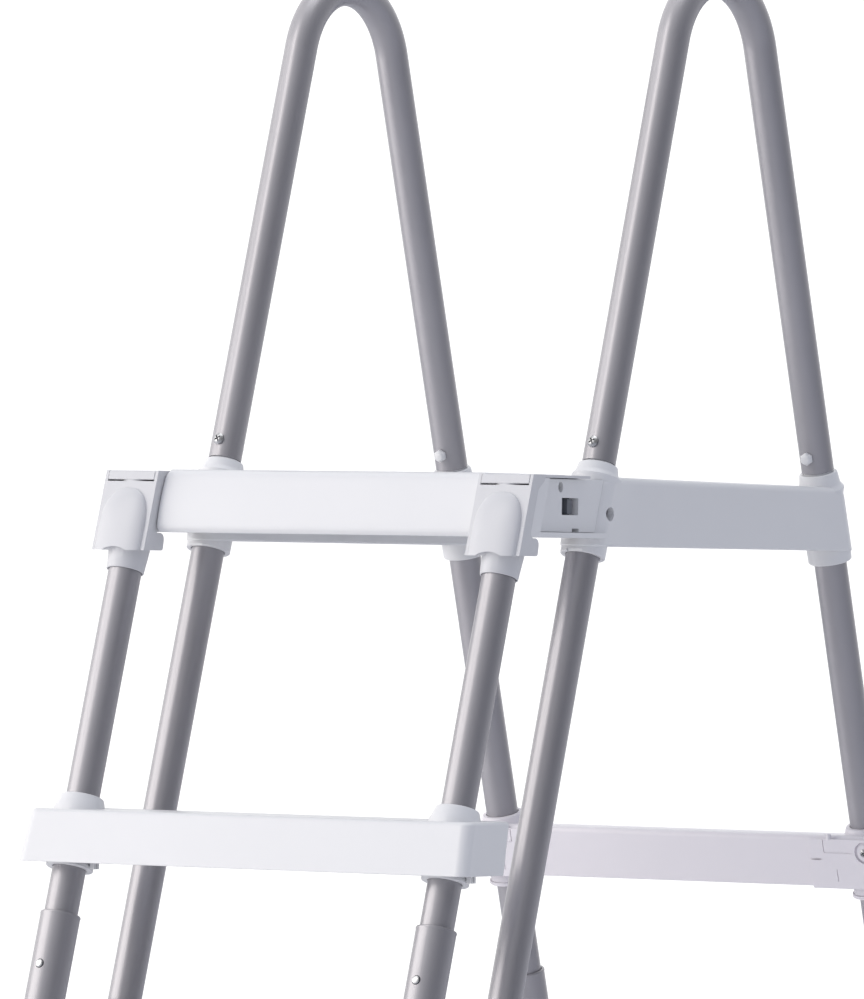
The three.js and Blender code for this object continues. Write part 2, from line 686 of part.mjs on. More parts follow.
for (const [side, name] of SIDE_NAMES)
  for (const [where, y, lean, jointDrop, top] of [
    ["front_leg", -legY, 1, FRONT_LEG_JOINT, SOCKET_DEPTH - FIT],
    ["rear_leg", legY, -1, REAR_LEG_JOINT, SOCKET_DEPTH - FIT],
    ["stringer", stringerY, 1, STRINGER_JOINT, SOCKET_DEPTH - FIT],
  ]) {
    const x = side * (where === "stringer" ? stringerX : legX);
    const owner = where === "stringer" ? section : ladder;
    const facing = -lean; // the button faces away from the middle of the A-frame
    const line = tubeLine(x, y, lean);
    line.add(piece(`${where}_upper_${name}`, upperTube(top, jointDrop, facing), powderCoat));
    line.add(piece(`${where}_lower_${name}`, lowerTube(jointDrop, facing), powderCoat));
    line.add(piece(`${where}_button_${name}`, snapButton(jointDrop, facing), zinc));
    owner.add(line);
    const barSide = where === "stringer" ? 0 : -side;
    owner.add(piece(`${where}_foot_${name}`, foot(x, y, lean, barSide), footRubber));
  }

for (const [where, lean] of [
  ["front", 1],
  ["rear", -1],
]) {
  const half = legX - LOWER_TUBE_RADIUS - FOOT_WALL + 1 - FIT;
  const bar = piece(`${where}_base_bar`, tubeGeometry(TUBE_RADIUS, tubeInner, -half, half), powderCoat);
  bar.rotation.y = Math.PI / 2;
  bar.position.set(0, -lean * (legY + LEAN * (PLATFORM_UNDERSIDE - BASE_BAR_HEIGHT)), BASE_BAR_HEIGHT);
  ladder.add(bar);
}

// ---- Hanger caps -------------------------------------------------------------------------------

// The cap clasps the platform's nose: a face plate, a socket for the stringer and two C-shaped walls.
function hangerCap() {
  const top = PLATFORM_HEIGHT;
  const plateTop = top - LID_LIP - FIT;
  const face = (rise, depth) => [capFaceAt(rise) + depth, rise];
  const plate = profileAlongX(
    [face(-CAP_BOTTOM, 0), face(-CAP_BOTTOM, CAP_PLATE), face(plateTop, CAP_PLATE), face(plateTop, 0)],
    capInner,
    capOuter,
  );
  const wallOutline = [
    face(-CAP_BOTTOM, 0.5),
    face(-CAP_BOTTOM, CAP_FOOT),
    face(blockBottom - 1, CAP_FOOT),
    ...noseOutline(blockBottom - 1, lidUnder + 1, -0.6),
    face(lidUnder + 1, CAP_TOP_ARM),
    face(top, CAP_TOP_ARM),
    face(top, 0.5),
  ];
  const walls = [
    profileAlongX(wallOutline, capInner, capInner + CAP_WALL),
    profileAlongX(wallOutline, capOuter - CAP_WALL, capOuter),
  ];
  const above = (rise) => block(0, FAR, -FAR, 0, rise, FAR);
  const below = block(0, FAR, -FAR, 0, -FAR, -CAP_BOTTOM);
  const socketRod = (radius) =>
    rod(stringerAt(stringerX, -CAP_BOTTOM - 12), stringerAt(stringerX, top + 14), radius);
  const behindPlate = profileAlongX(
    [face(-90, CAP_PLATE - 1), face(-90, 120), face(top + 30, 120), face(top + 30, CAP_PLATE - 1)],
    0,
    FAR,
  );
  const boss = join(
    cut(socketRod(CAP_BOSS_RADIUS), above(plateTop), below),
    cut(socketRod(CAP_BULGE_RADIUS), above(CAP_BULGE_TOP), below, behindPlate),
  );
  const ring = rod(
    stringerAt(stringerX, -CAP_RING_BOTTOM),
    stringerAt(stringerX, 0),
    CAP_RING_RADIUS - 0.5,
    CAP_RING_RADIUS + 1,
    BOSS_SIDES,
  );
  const bore = rod(stringerAt(stringerX, -80), stringerAt(stringerX, SOCKET_DEPTH), TUBE_RADIUS + FIT);
  return cut(join(plate, ...walls, boss, ring), bore);
}

const caps = new THREE.Group();
caps.position.z = PLATFORM_UNDERSIDE;
for (const [side, name] of SIDE_NAMES) {
  const cap = hangerCap();
  caps.add(piece(`hanger_cap_${name}`, side > 0 ? cap : cap.mirror([1, 0, 0]), whitePlastic));
}
section.add(caps);

// ---- Steps -------------------------------------------------------------------------------------

// A moulded step. Its frame has the tube centre lines through Y = 0 at its top, Z = 0, and -Y in front.
// lean is 1 on tubes that run back as they rise, and -1 on tubes that run forward.
function step(height, tubeX, tubeRadius, lean) {
  const halfX = LEG_SPACING / 2 + STEP_OVERHANG;
  const front = -STEP_FRONT;
  const back = front + STEP_DEPTH;
  const outline = (inset) => {
    const corner = STEP_CORNER - inset;
    const [x, y0, y1] = [halfX - inset, front + inset, back - inset];
    const shape = new THREE.Shape();
    shape.moveTo(-x + corner, y0);
    shape.lineTo(x - corner, y0);
    shape.absarc(x - corner, y0 + corner, corner, -Math.PI / 2, 0);
    shape.absarc(x - corner, y1 - corner, corner, 0, Math.PI / 2);
    shape.absarc(-x + corner, y1 - corner, corner, Math.PI / 2, Math.PI);
    shape.absarc(-x + corner, y0 + corner, corner, Math.PI, 1.5 * Math.PI);
    return shape;
  };
  const leanAndDraft = (geometry) => {
    const at = geometry.attributes.position;
    for (let i = 0; i < at.count; i++) {
      const drop = -at.getZ(i);
      at.setX(i, at.getX(i) * (1 + (STEP_DRAFT * drop) / (height * halfX)));
      at.setY(i, at.getY(i) - lean * LEAN * drop);
    }
    return geometry;
  };
  const outerShape = new THREE.ExtrudeGeometry(outline(0), {
    depth: height - STEP_EDGE,
    curveSegments: 1,
    bevelThickness: STEP_EDGE,
    bevelSize: STEP_EDGE,
    bevelOffset: -STEP_EDGE,
    bevelSegments: 2,
  }).translate(0, 0, -height);
  const underside = block(-FAR, FAR, -FAR, FAR, -FAR, -height);
  const innerShape = new THREE.ExtrudeGeometry(outline(STEP_WALL), {
    depth: height + 10 - STEP_WALL,
    curveSegments: 1,
    bevelEnabled: false,
  }).translate(0, 0, -height - 10);
  let body = cut(solid(leanAndDraft(outerShape)), underside, solid(leanAndDraft(innerShape)));
  const rib = STEP_WALL / 2;
  for (const x of [-tubeX / 2, 0, tubeX / 2])
    body = join(body, ribAcross(x, rib, front, back, height, lean));
  for (const x of [-tubeX, tubeX]) {
    const at = (rise) => vec(x, lean * LEAN * rise, rise);
    const boss = tubeRadius + 5;
    body = join(
      body,
      rod(at(-2), at(STEP_COLLAR_HEIGHT), tubeRadius + STEP_COLLAR, tubeRadius + 4, BOSS_SIDES),
      rod(at(-height - STEP_RING_DROP), at(-1), boss, boss, BOSS_SIDES),
    );
    body = cut(body, rod(at(-height - 60), at(60), tubeRadius + FIT));
  }
  return body;
}

function ribAcross(x, half, front, back, height, lean) {
  const shift = -lean * LEAN * height;
  return profileAlongX(
    [
      [front + 2 + shift, -height + 2],
      [back - 2 + shift, -height + 2],
      [back - 2, -2],
      [front + 2, -2],
    ],
    x - half,
    x + half,
  );
}

// The clamp plate screwed to a pool step's dry side, over the leg.
function clampPlate(height, side) {
  const plate = profileAlongX(
    [
      [-STEP_FRONT - CLAMP_THICKNESS, -4],
      [-STEP_FRONT - FIT, -4],
      [-STEP_FRONT - FIT + LEAN * (height - 2), -height - 2],
      [-STEP_FRONT - CLAMP_THICKNESS + LEAN * (height - 2), -height - 2],
    ],
    -CLAMP_WIDTH / 2,
    CLAMP_WIDTH / 2,
  );
  const mid = -height / 2;
  const x = side * CLAMP_INBOARD;
  const y = -STEP_FRONT - LEAN * mid;
  return cut(plate, rod(vec(x, y - 20, mid), vec(x, y + 20, mid), CLAMP_RECESS_RADIUS));
}

const STEP_NAMES = ["top", "middle", "bottom"];
for (let i = 0; i < STEP_COUNT; i++) {
  const entryDrop = ENTRY_STEP_TOP + i * STEP_RISE;
  const entryTube = entryDrop > STRINGER_JOINT ? LOWER_TUBE_RADIUS : TUBE_RADIUS;
  const entry = step(ENTRY_STEP_HEIGHT, stringerX, entryTube, 1);
  const entryStep = piece(`entry_step_${STEP_NAMES[i]}`, entry, whitePlastic);
  entryStep.position.set(0, stringerY - LEAN * entryDrop, PLATFORM_UNDERSIDE - entryDrop);
  section.add(entryStep);

  const poolDrop = POOL_STEP_TOP + i * STEP_RISE;
  const poolTube = poolDrop > REAR_LEG_JOINT ? LOWER_TUBE_RADIUS : TUBE_RADIUS;
  const place = vec(0, legY + LEAN * poolDrop, PLATFORM_UNDERSIDE - poolDrop);
  const pool = piece(`pool_step_${STEP_NAMES[i]}`, step(POOL_STEP_HEIGHT, legX, poolTube, -1), poolPlastic);
  pool.position.copy(place);
  ladder.add(pool);
  for (const [side, name] of SIDE_NAMES) {
    const plate = clampPlate(POOL_STEP_HEIGHT, side);
    const clamp = piece(`pool_step_${STEP_NAMES[i]}_clamp_${name}`, plate, poolPlastic);
    clamp.position.copy(place).setX(side * (legX - CLAMP_INBOARD));
    ladder.add(clamp);
  }
}

ladder.add(section);

// The origin is on the ground, in the middle of the footprint.
const model = new THREE.Group();
model.add(ladder);
const footprint = new THREE.Box3().setFromObject(model);
ladder.position.y = -(footprint.min.y + footprint.max.y) / 2;

export default model;
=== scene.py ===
# %% [markdown]
# # An A-frame pool ladder, dressed in Blender
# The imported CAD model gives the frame: where every tube, step and latch lies, and which pieces move
# together. This script keeps those places and builds the surfaces that an eye looks at: round tubes,
# moulded plastic with soft edges, screws and their recesses. The frame is loaded before anything else,
# so that each piece can take its place from it.

import math

import bmesh
import bpy
from mathutils import Matrix, Vector


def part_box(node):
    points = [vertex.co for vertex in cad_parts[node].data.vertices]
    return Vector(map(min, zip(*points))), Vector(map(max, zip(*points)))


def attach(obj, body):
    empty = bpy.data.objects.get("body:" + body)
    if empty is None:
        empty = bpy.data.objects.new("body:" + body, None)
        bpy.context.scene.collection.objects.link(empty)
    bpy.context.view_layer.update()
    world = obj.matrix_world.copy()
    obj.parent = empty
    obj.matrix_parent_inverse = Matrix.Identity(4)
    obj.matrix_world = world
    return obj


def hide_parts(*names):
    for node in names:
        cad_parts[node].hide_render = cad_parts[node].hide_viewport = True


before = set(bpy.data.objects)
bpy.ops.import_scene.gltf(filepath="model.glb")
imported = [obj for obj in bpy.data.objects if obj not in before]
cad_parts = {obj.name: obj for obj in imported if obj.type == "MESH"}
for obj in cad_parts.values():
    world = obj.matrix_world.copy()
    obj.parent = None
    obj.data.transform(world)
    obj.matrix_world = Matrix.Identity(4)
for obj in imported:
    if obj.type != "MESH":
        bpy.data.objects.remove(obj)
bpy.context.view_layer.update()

# %% [markdown]
# ## The camera
# A long lens far away keeps parallel tubes nearly parallel, as a catalogue picture does. The camera
# looks level from the entry side, a third of a right angle to the right, and is rolled by under a degree.
# The whole turn is one product of three rotations, which is easier to read than a list of angles.

# %% Place the camera
CAMERA_PLACE = Vector((4.9012, -7.6536, 1.2073))
CAMERA_TURN = math.radians(32.956)
CAMERA_TILT = math.radians(0.354)
CAMERA_ROLL = math.radians(0.892)

lens = bpy.data.cameras.new("camera")
lens.lens = 338.95
lens.clip_end = 200
camera = bpy.data.objects.new("camera", lens)
camera.matrix_world = (
    Matrix.Translation(CAMERA_PLACE)
    @ Matrix.Rotation(CAMERA_TURN, 4, "Z")
    @ Matrix.Rotation(math.pi / 2 + CAMERA_TILT, 4, "X")
    @ Matrix.Rotation(CAMERA_ROLL, 4, "Z")
)
bpy.context.scene.collection.objects.link(camera)
bpy.context.scene.camera = camera
bpy.context.scene.view_settings.view_transform = "Standard"
print("camera", round(CAMERA_PLACE.length, 2), "m from the origin")

# %% [markdown]
# ## Measures
# Everything on the ladder is easiest to say in millimetres from one point: the middle of the platform's
# underside. The tubes all lean the same way, three in ten, so a point on a tube follows from its height.
# The few sizes below come from the frame's own boxes where a box gives them.

# %% Measure the frame
MM = 0.001
LEAN = 0.3
SLOPE = math.atan(LEAN)
COS, SIN = math.cos(SLOPE), math.sin(SLOPE)
PLATFORM = 66
DECK_FALL = 4
LEG_Y = 226
TUBE = 16
LOWER_TUBE = 19

rail_low, rail_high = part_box("handrail_right")
cap_low, cap_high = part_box("hanger_cap_right")
CENTRE = Vector((0, (rail_low.y + rail_high.y) / 2, cap_high.z - PLATFORM * MM))
LEG_X = (rail_low.x + rail_high.x) / 2 / MM
STRINGER_X = (cap_low.x + cap_high.x) / 2 / MM
STRINGER_Y = -LEG_Y - 136
SIDES = (("left", -1), ("right", 1))
TUBE_LINES = {
    "front_leg": (LEG_X, -LEG_Y, 1),
    "rear_leg": (LEG_X, LEG_Y, -1),
    "stringer": (STRINGER_X, STRINGER_Y, 1),
}


def at(x, y, rise):
    """A point given in millimetres from the middle of the platform's underside."""
    return CENTRE + Vector((x, y, rise)) * MM


def on_line(line, side, rise):
    """The centre of a leg or stringer at a height."""
    x, y, lean = TUBE_LINES[line]
    return at(side * x, y + lean * LEAN * rise, rise)


def along(lean):
    """The upward direction of a tube that leans back (1) or forward (-1)."""
    return Vector((0, lean * SIN, COS))


def cap_face(rise):
    return STRINGER_Y - 19 + LEAN * rise


def nose_face(rise):
    return cap_face(rise) + 14


def deck_top(y):
    return PLATFORM - DECK_FALL * (y + LEG_Y) / (2 * LEG_Y)


print("platform underside", round(CENTRE.z, 3), "m up, legs", round(2 * LEG_X), "mm apart")

# %% [markdown]
# ## Finishes
# Three finishes make most of the look. Moulded polypropylene is nearly white, satin, and has a fine grain
# that only shows as a soft sheen. Powder coat is a warm grey with a slight orange peel and a metallic
# glint. Zinc on the screws is plain metal. Each is a node material, so it needs no image and no unwrapping:
# noise in object space drives a small change of colour and roughness and a very shallow bump.

# %% Build the finishes
def add_node(nodes, kind, **settings):
    """A new shader node with its inputs set by name; an underscore stands for a space."""
    node = nodes.new(kind)
    for label, value in settings.items():
        node.inputs[label.replace("_", " ")].default_value = value
    return node


def finish(name, colour, roughness, metallic=0.0, grain=900, relief=0.02, drift=0.04, coat=0.0):
    """A node material: broad drift in colour and roughness, and a fine grain in relief."""
    material = bpy.data.materials.new(name)
    material.use_nodes = True
    nodes, links = material.node_tree.nodes, material.node_tree.links
    shader = nodes["Principled BSDF"]
    shader.inputs["Metallic"].default_value = metallic
    shader.inputs["Coat Weight"].default_value = coat
    shader.inputs["Coat Roughness"].default_value = 0.2
    place = nodes.new("ShaderNodeTexCoord")
    broad = add_node(nodes, "ShaderNodeTexNoise", Scale=7, Detail=4)
    links.new(place.outputs["Object"], broad.inputs["Vector"])
    tint = nodes.new("ShaderNodeValToRGB")
    tint.color_ramp.elements[0].position = 0.3
    tint.color_ramp.elements[1].position = 0.7
    tint.color_ramp.elements[0].color = [c * (1 - drift) for c in colour] + [1]
    tint.color_ramp.elements[1].color = [min(1, c * (1 + drift)) for c in colour] + [1]
    links.new(broad.outputs["Fac"], tint.inputs["Fac"])
    links.new(tint.outputs["Color"], shader.inputs["Base Color"])
    polish = add_node(nodes, "ShaderNodeMapRange", To_Min=roughness * 0.88, To_Max=roughness * 1.12)
    links.new(broad.outputs["Fac"], polish.inputs["Value"])
    links.new(polish.outputs["Result"], shader.inputs["Roughness"])
    fine = add_node(nodes, "ShaderNodeTexNoise", Scale=grain, Detail=2)
    links.new(place.outputs["Object"], fine.inputs["Vector"])
    bump = add_node(nodes, "ShaderNodeBump", Strength=relief, Distance=0.001)
    links.new(fine.outputs["Fac"], bump.inputs["Height"])
    links.new(bump.outputs["Normal"], shader.inputs["Normal"])
    return material


white_plastic = finish("white_plastic", (0.81, 0.81, 0.81), 0.36, grain=1400, drift=0.012)
# The caps and latch lids are the same white plastic, made darker here: painted shade.
cap_plastic_painted_shade = finish("cap_plastic_painted_shade", (0.68, 0.68, 0.69), 0.36, grain=1400, drift=0.012)
pool_plastic = finish("pool_step_plastic", (0.83, 0.8, 0.83), 0.4, grain=1400, drift=0.015)
powder_coat = finish("powder_coat", (0.385, 0.375, 0.395), 0.36, 0.45, grain=700, relief=0.03, coat=0.1)
# Bare steel for tube rims and bores, made near black: the darkness is painted shade for the dark line at each
# tube end.
cut_steel_painted_shade = finish("cut_steel_painted_shade", (0.07, 0.07, 0.075), 0.5, 0.8, grain=500, relief=0.1)
zinc = finish("zinc_plate", (0.45, 0.455, 0.47), 0.34, 1.0, grain=600, relief=0.05)
latch_grey = finish("latch_grey", (0.16, 0.17, 0.19), 0.45, grain=1200)
foot_rubber = finish("foot_rubber", (0.56, 0.56, 0.58), 0.62, grain=500, relief=0.08)

# %% [markdown]
# ## Ways to make a surface
# Nearly all of the ladder is one of three forms. A *loft* is a skin over rings of points, which suits
# mouldings whose walls draft and whose edges are round. A *turned* piece is a profile swept round an
# axis, as on a lathe. An *extruded* piece is an outline pushed along one direction. Holes are cut by
# boolean modifiers, and a bevel modifier softens what is left sharp. Modifiers are applied at once, so
# that each piece ends up as a plain mesh.

# %% Skins, lathe and outlines
def skin(rings, hollow=False):
    """Faces over rings of points; the ends are closed, or joined to each other when hollow."""
    bm = bmesh.new()
    rows = [[bm.verts.new(point) for point in ring] for ring in rings]
    pairs = list(zip(rows, rows[1:]))
    if hollow:
        pairs.append((rows[-1], rows[0]))
    else:
        bm.faces.new(reversed(rows[0]))
        bm.faces.new(rows[-1])
    for low, high in pairs:
        for i in range(len(low)):
            j = (i + 1) % len(low)
            bm.faces.new((low[i], low[j], high[j], high[i]))
    return bm


def circle(centre, axis, radius, sides=64):
    """Points round an axis; radius is in millimetres."""
    axis = axis.normalized()
    across = axis.cross(Vector((1, 0, 0)))
    if across.length < 0.1:
        across = axis.cross(Vector((0, 1, 0)))
    across.normalize()
    up = axis.cross(across)
    turns = [2 * math.pi * i / sides for i in range(sides)]
    return [centre + (across * math.cos(t) + up * math.sin(t)) * radius * MM for t in turns]


def turned(profile, start, axis, sides=64, hollow=False):
    """A profile of (radius, distance along the axis), in millimetres, swept round the axis."""
    axis = axis.normalized()
    rings = [
        circle(start + axis * distance * MM, axis, max(radius, 0.02), sides)
        for radius, distance in profile
    ]
    return skin(rings, hollow)


def rounded(corners, steps=5):
    """A closed outline from corners (a, b, radius); each corner becomes an arc."""
    outline = []
    for i, (a, b, radius) in enumerate(corners):
        corner = Vector((a, b))
        before = (Vector(corners[i - 1][:2]) - corner).normalized()
        after = (Vector(corners[(i + 1) % len(corners)][:2]) - corner).normalized()
        if radius == 0:
            outline.append(corner)
            continue
        half = before.angle(after) / 2
        centre = corner + (before + after).normalized() * radius / math.sin(half)
        first = corner + before * radius / math.tan(half) - centre
        last = corner + after * radius / math.tan(half) - centre
        begin = math.atan2(first.y, first.x)
        turn = math.atan2(first.cross(last), first.dot(last))
        for step in range(steps + 1):
            angle = begin + turn * step / steps
            outline.append(centre + Vector((math.cos(angle), math.sin(angle))) * radius)
    return outline


def across_x(outline, x0, x1):
    """An outline in Y and rise, extruded from one X to another."""
    return skin([[at(x, y, rise) for y, rise in outline] for x in (x0, x1)])


def block(x0, x1, y0, y1, z0, z1):
    return across_x([(y0, z0), (y1, z0), (y1, z1), (y0, z1)], x0, x1)


print("helpers ready")

# %% [markdown]
# A mesh becomes a piece once it has an object, a finish and smooth shading that stops at real edges.
# The boolean and bevel helpers work on pieces. `dress` then says what body a piece rides on, and which
# CAD nodes it stands for.

# %% Pieces, cuts and bevels
def piece(name, bm, material, crease=34):
    """An object from a bmesh, smooth except across edges sharper than the crease angle."""
    bmesh.ops.recalc_face_normals(bm, faces=bm.faces)
    mesh = bpy.data.meshes.new(name)
    bm.to_mesh(mesh)
    bm.free()
    mesh.materials.append(material)
    made = bpy.data.objects.new(name, mesh)
    bpy.context.scene.collection.objects.link(made)
    made["crease"] = crease
    return made


def settle(made):
    """Applies the modifiers and sets the shading."""
    depsgraph = bpy.context.evaluated_depsgraph_get()
    mesh = bpy.data.meshes.new_from_object(made.evaluated_get(depsgraph))
    made.modifiers.clear()
    made.data = mesh
    bm = bmesh.new()
    bm.from_mesh(mesh)
    bmesh.ops.dissolve_degenerate(bm, dist=1e-7, edges=bm.edges)
    limit = math.radians(made["crease"])
    for face in bm.faces:
        face.smooth = True
    for edge in bm.edges:
        edge.smooth = len(edge.link_faces) == 2 and edge.calc_face_angle() < limit
    bm.to_mesh(mesh)
    bm.free()
    return made


def boolean(made, tools, operation):
    for tool in tools:
        other = piece("tool", tool, made.data.materials[0]) if isinstance(tool, bmesh.types.BMesh) else tool
        change = made.modifiers.new("boolean", "BOOLEAN")
        change.operation = operation
        change.solver = "EXACT"
        change.object = other
        settle(made)
        bpy.data.objects.remove(other)
    return made


def carve(made, *tools):
    return boolean(made, tools, "DIFFERENCE")


def fuse(made, *tools):
    return boolean(made, tools, "UNION")


def soften(made, width, segments=3, angle=40):
    """Rounds every edge sharper than the angle; width is in millimetres."""
    bevel = made.modifiers.new("bevel", "BEVEL")
    bevel.width = width * MM
    bevel.segments = segments
    bevel.angle_limit = math.radians(angle)
    bevel.use_clamp_overlap = True
    return settle(made)


def mirrored(made, name):
    """The same piece on the other side of the ladder."""
    mesh = made.data.copy()
    mesh.transform(Matrix.Scale(-1, 4, Vector((1, 0, 0))))
    mesh.flip_normals()
    other = bpy.data.objects.new(name, mesh)
    other["crease"] = made["crease"]
    bpy.context.scene.collection.objects.link(other)
    return other


def dress(made, body, *nodes):
    """The piece rides on a body and stands for CAD nodes, which it hides."""
    settle(made)
    weigh = made.modifiers.new("even shading", "WEIGHTED_NORMAL")
    weigh.keep_sharp = True
    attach(made, body)
    if nodes:
        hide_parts(*nodes)
    return made


print("cuts ready")

# %% [markdown]
# ## Tubes
# The legs are steel tube, 32 mm above and 38 mm below, with the upper one pushed into the lower one. A
# cylinder would do from afar, but a cut tube has a wall, a bore and a rim that catches the light, so the
# skin runs down the outside, round the rim and back up the bore. The rim and the bore are bare steel,
# made near black: painted shade for the dark line at each tube end and the dark inside.

# %% Tubes and handrails
TUBE_WALL = 1.4
RIM = 0.35


def pipe(name, centres, axes, radius):
    """A tube with a wall along centres, each with the tube's direction there."""
    bore = radius - TUBE_WALL
    ends = {0: 1, len(centres) - 1: -1}
    outer = []
    inner = []
    for i, (centre, axis) in enumerate(zip(centres, axes)):
        step = axis.normalized() * RIM * MM * ends.get(i, 0)
        if i == 0:
            outer.append(circle(centre, axis, radius - RIM))
        outer.append(circle(centre + step, axis, radius))
        if i == len(centres) - 1:
            outer.append(circle(centre, axis, radius - RIM))
        inner.append(circle(centre, axis, bore))
    made = piece(name, skin(outer + inner[::-1], hollow=True), powder_coat)
    # The rim and the bore take the near-black steel, a painted shade.
    made.data.materials.append(cut_steel_painted_shade)
    painted = (len(outer) - 1) * len(outer[0])
    for face in made.data.polygons:
        face.material_index = 0 if face.index < painted else 1
    return made


RAIL_FOOT = 78.2
BEND_RADIUS = 84
BEND_RISE = (LEG_Y - BEND_RADIUS / COS) / LEAN
BEND_STEPS = 40


def handrail(name, side):
    front = on_line("front_leg", side, RAIL_FOOT)
    rear = on_line("rear_leg", side, RAIL_FOOT)
    centres, axes = [front], [along(1)]
    for i in range(BEND_STEPS + 1):
        turn = math.pi - SLOPE - (math.pi - 2 * SLOPE) * i / BEND_STEPS
        reach, rise = BEND_RADIUS * math.cos(turn), BEND_RADIUS * math.sin(turn)
        centres.append(at(side * LEG_X, reach, BEND_RISE + rise))
        axes.append(Vector((0, math.sin(turn), -math.cos(turn))))
    return pipe(name, centres + [rear], axes + [-along(-1)], TUBE)


for where, side in SIDES:
    dress(handrail(f"rail_{where}", side), "frame", f"handrail_{where}")
print("handrails rise to", round(BEND_RISE + BEND_RADIUS + TUBE), "mm above the platform's underside")

# %% [markdown]
# Each rail end is held by one cross-recess screw from outside, with a white hexagonal cap nut inside.
# The recess is two crossed slots cut from a turned pan head. The nut is a loft whose rings go from a
# hexagon to a circle, which gives it its dome.

# %% Rail screws and cap nuts
def slots_across(centre, axis, length, width, depth):
    """Two crossed slots in a screw's head, from its crown down."""
    tools = []
    for turn in (0, math.pi / 2):
        ring = circle(centre, axis, 1, 4)
        spin = Matrix.Rotation(turn + 0.5, 3, axis)
        u = spin @ (ring[0] - centre).normalized()
        v = axis.normalized().cross(u)
        corners = [u * a * length / 2 + v * b * width / 2 for a, b in ((1, 1), (-1, 1), (-1, -1), (1, -1))]
        top = [centre + c * MM + axis.normalized() * 2 * MM for c in corners]
        low = [centre + c * MM * 0.8 - axis.normalized() * depth * MM for c in corners]
        tools.append(skin([low, top]))
    return tools


def pan_screw(name, place, axis, head, shank, length, material):
    """A turned screw with a crossed recess; place is under the head."""
    height = head * 0.6
    profile = [(shank, -length), (shank, 0), (head, 0.05), (head, height * 0.35)]
    for step in range(1, 7):
        turn = step / 6 * math.pi / 2
        profile.append((head * (1 - 0.92 * math.sin(turn / 2)), height * (0.35 + 0.65 * math.sin(turn))))
    made = piece(name, turned(profile, place, axis, 48), material)
    crown = place + axis.normalized() * height * MM
    return carve(made, *slots_across(crown, axis, head * 1.3, head * 0.32, height * 0.85))


def cap_nut(name, place, axis):
    axis = axis.normalized()
    rings = []
    for distance, radius, corner in (
        (0, 6.1, 1), (0.4, 6.5, 1), (3.4, 6.5, 1), (3.8, 5.9, 0.6), (4.2, 5.4, 0),
        (5.2, 4.9, 0), (6.0, 3.9, 0), (6.4, 2.2, 0), (6.5, 0.3, 0),
    ):
        centre = place + axis * distance * MM
        ring = []
        for i, point in enumerate(circle(centre, axis, radius, 48)):
            facet = (i % 8) / 8 * math.pi / 3 - math.pi / 6
            flat = math.cos(math.pi / 6) / math.cos(facet)
            ring.append(centre + (point - centre) * (corner * flat + 1 - corner))
        rings.append(ring)
    return piece(name, skin(rings), white_plastic, crease=24)


COLLAR_TOP = 77
BOLT_RISE = COLLAR_TOP + 18 * COS
for where, side in SIDES:
    for end, lean, line in (("front", 1, "front_leg"), ("rear", -1, "rear_leg")):
        outward = Vector((0, -lean * COS, SIN))
        centre = on_line(line, side, BOLT_RISE)
        seat = centre + outward * TUBE * MM
        screw = pan_screw(f"rail_screw_{end}_{where}", seat, outward, 5.6, 2.9, 36, zinc)
        dress(screw, "frame", f"rail_bolt_{end}_{where}")
        nut = cap_nut(f"cap_nut_{end}_{where}", centre - outward * TUBE * MM, -outward)
        dress(nut, "frame", f"rail_nut_{end}_{where}")
print("rail screws sit", round(BOLT_RISE), "mm up")

# %% [markdown]
# ## The platform's sides
# Each side of the platform is one moulding: a hollow beam with a round boss at each end for the legs,
# a collar above for the handrail, and a latch block in front. A loft suits the beam and both bosses at
# once. Its rings are stadium outlines whose ends follow the leaning legs, drawn in at the top and
# bottom to make the rounded edges, and then turned inwards to make the hollow underside.

# %% Side moulding: beam and bosses
BEAM_HALF = 23
TOP_EDGE = 8
BOTTOM_EDGE = 2.5
WAIST = 2.6


def stadium(rise, inset):
    """A beam outline at a height, with its ends round the leg lines."""
    reach = LEG_Y - LEAN * rise
    radius = BEAM_HALF - inset
    corners = []
    for end in (1, -1):
        for i in range(25):
            turn = math.pi * i / 24 + (0 if end > 0 else math.pi)
            corners.append((radius * math.cos(turn), end * reach + radius * math.sin(turn)))
    for step in range(1, 24):
        y = -reach + 2 * reach * step / 24
        far = min(1, (reach - abs(y)) / 34)
        corners.append((radius - WAIST * far * far * (3 - 2 * far), y))
    return [at(LEG_X + x, y, rise * deck_top(y) / PLATFORM) for x, y in corners]


def edge_arc(radius, steps=5):
    """(inset, distance below the face) along a rounded edge, from the wall to the face."""
    turns = [math.pi / 2 * i / steps for i in range(steps + 1)]
    return [(radius * (1 - math.cos(t)), radius * (1 - math.sin(t))) for t in turns]


def beam():
    rings = [stadium(58, 5.5), stadium(0, 4.2)]
    rings += [stadium(drop, inset) for inset, drop in reversed(edge_arc(BOTTOM_EDGE))]
    rings += [stadium(PLATFORM - drop, inset) for inset, drop in edge_arc(TOP_EDGE)]
    return piece("side_right", skin(rings), white_plastic)


def leg_socket(lean):
    """The sleeve that takes the leg, with its rounded rim under the beam."""
    profile = [(20.6, -10), (21.4, -9.2), (21.6, 0), (21.6, 62)]
    return turned(profile, at(LEG_X, -lean * LEG_Y, 0), along(lean), 64)


def rail_collar(lean):
    """The flared collar and the spigot that plugs the handrail."""
    foot = PLATFORM if lean > 0 else PLATFORM - DECK_FALL
    start = at(LEG_X, -lean * (LEG_Y - LEAN * foot), foot)
    top = (COLLAR_TOP - foot) / COS
    profile = [(21, -12), (23.8, -1.6), (22.6, 0.4), (21.2, 1.8), (20.3, 4), (18.9, top - 1.4)]
    profile += [(18.2, top - 0.6), (17.6, top - 0.3), (14.3, top - 0.3), (14.3, top + 30), (12, top + 32)]
    return turned(profile, start, along(lean), 64)


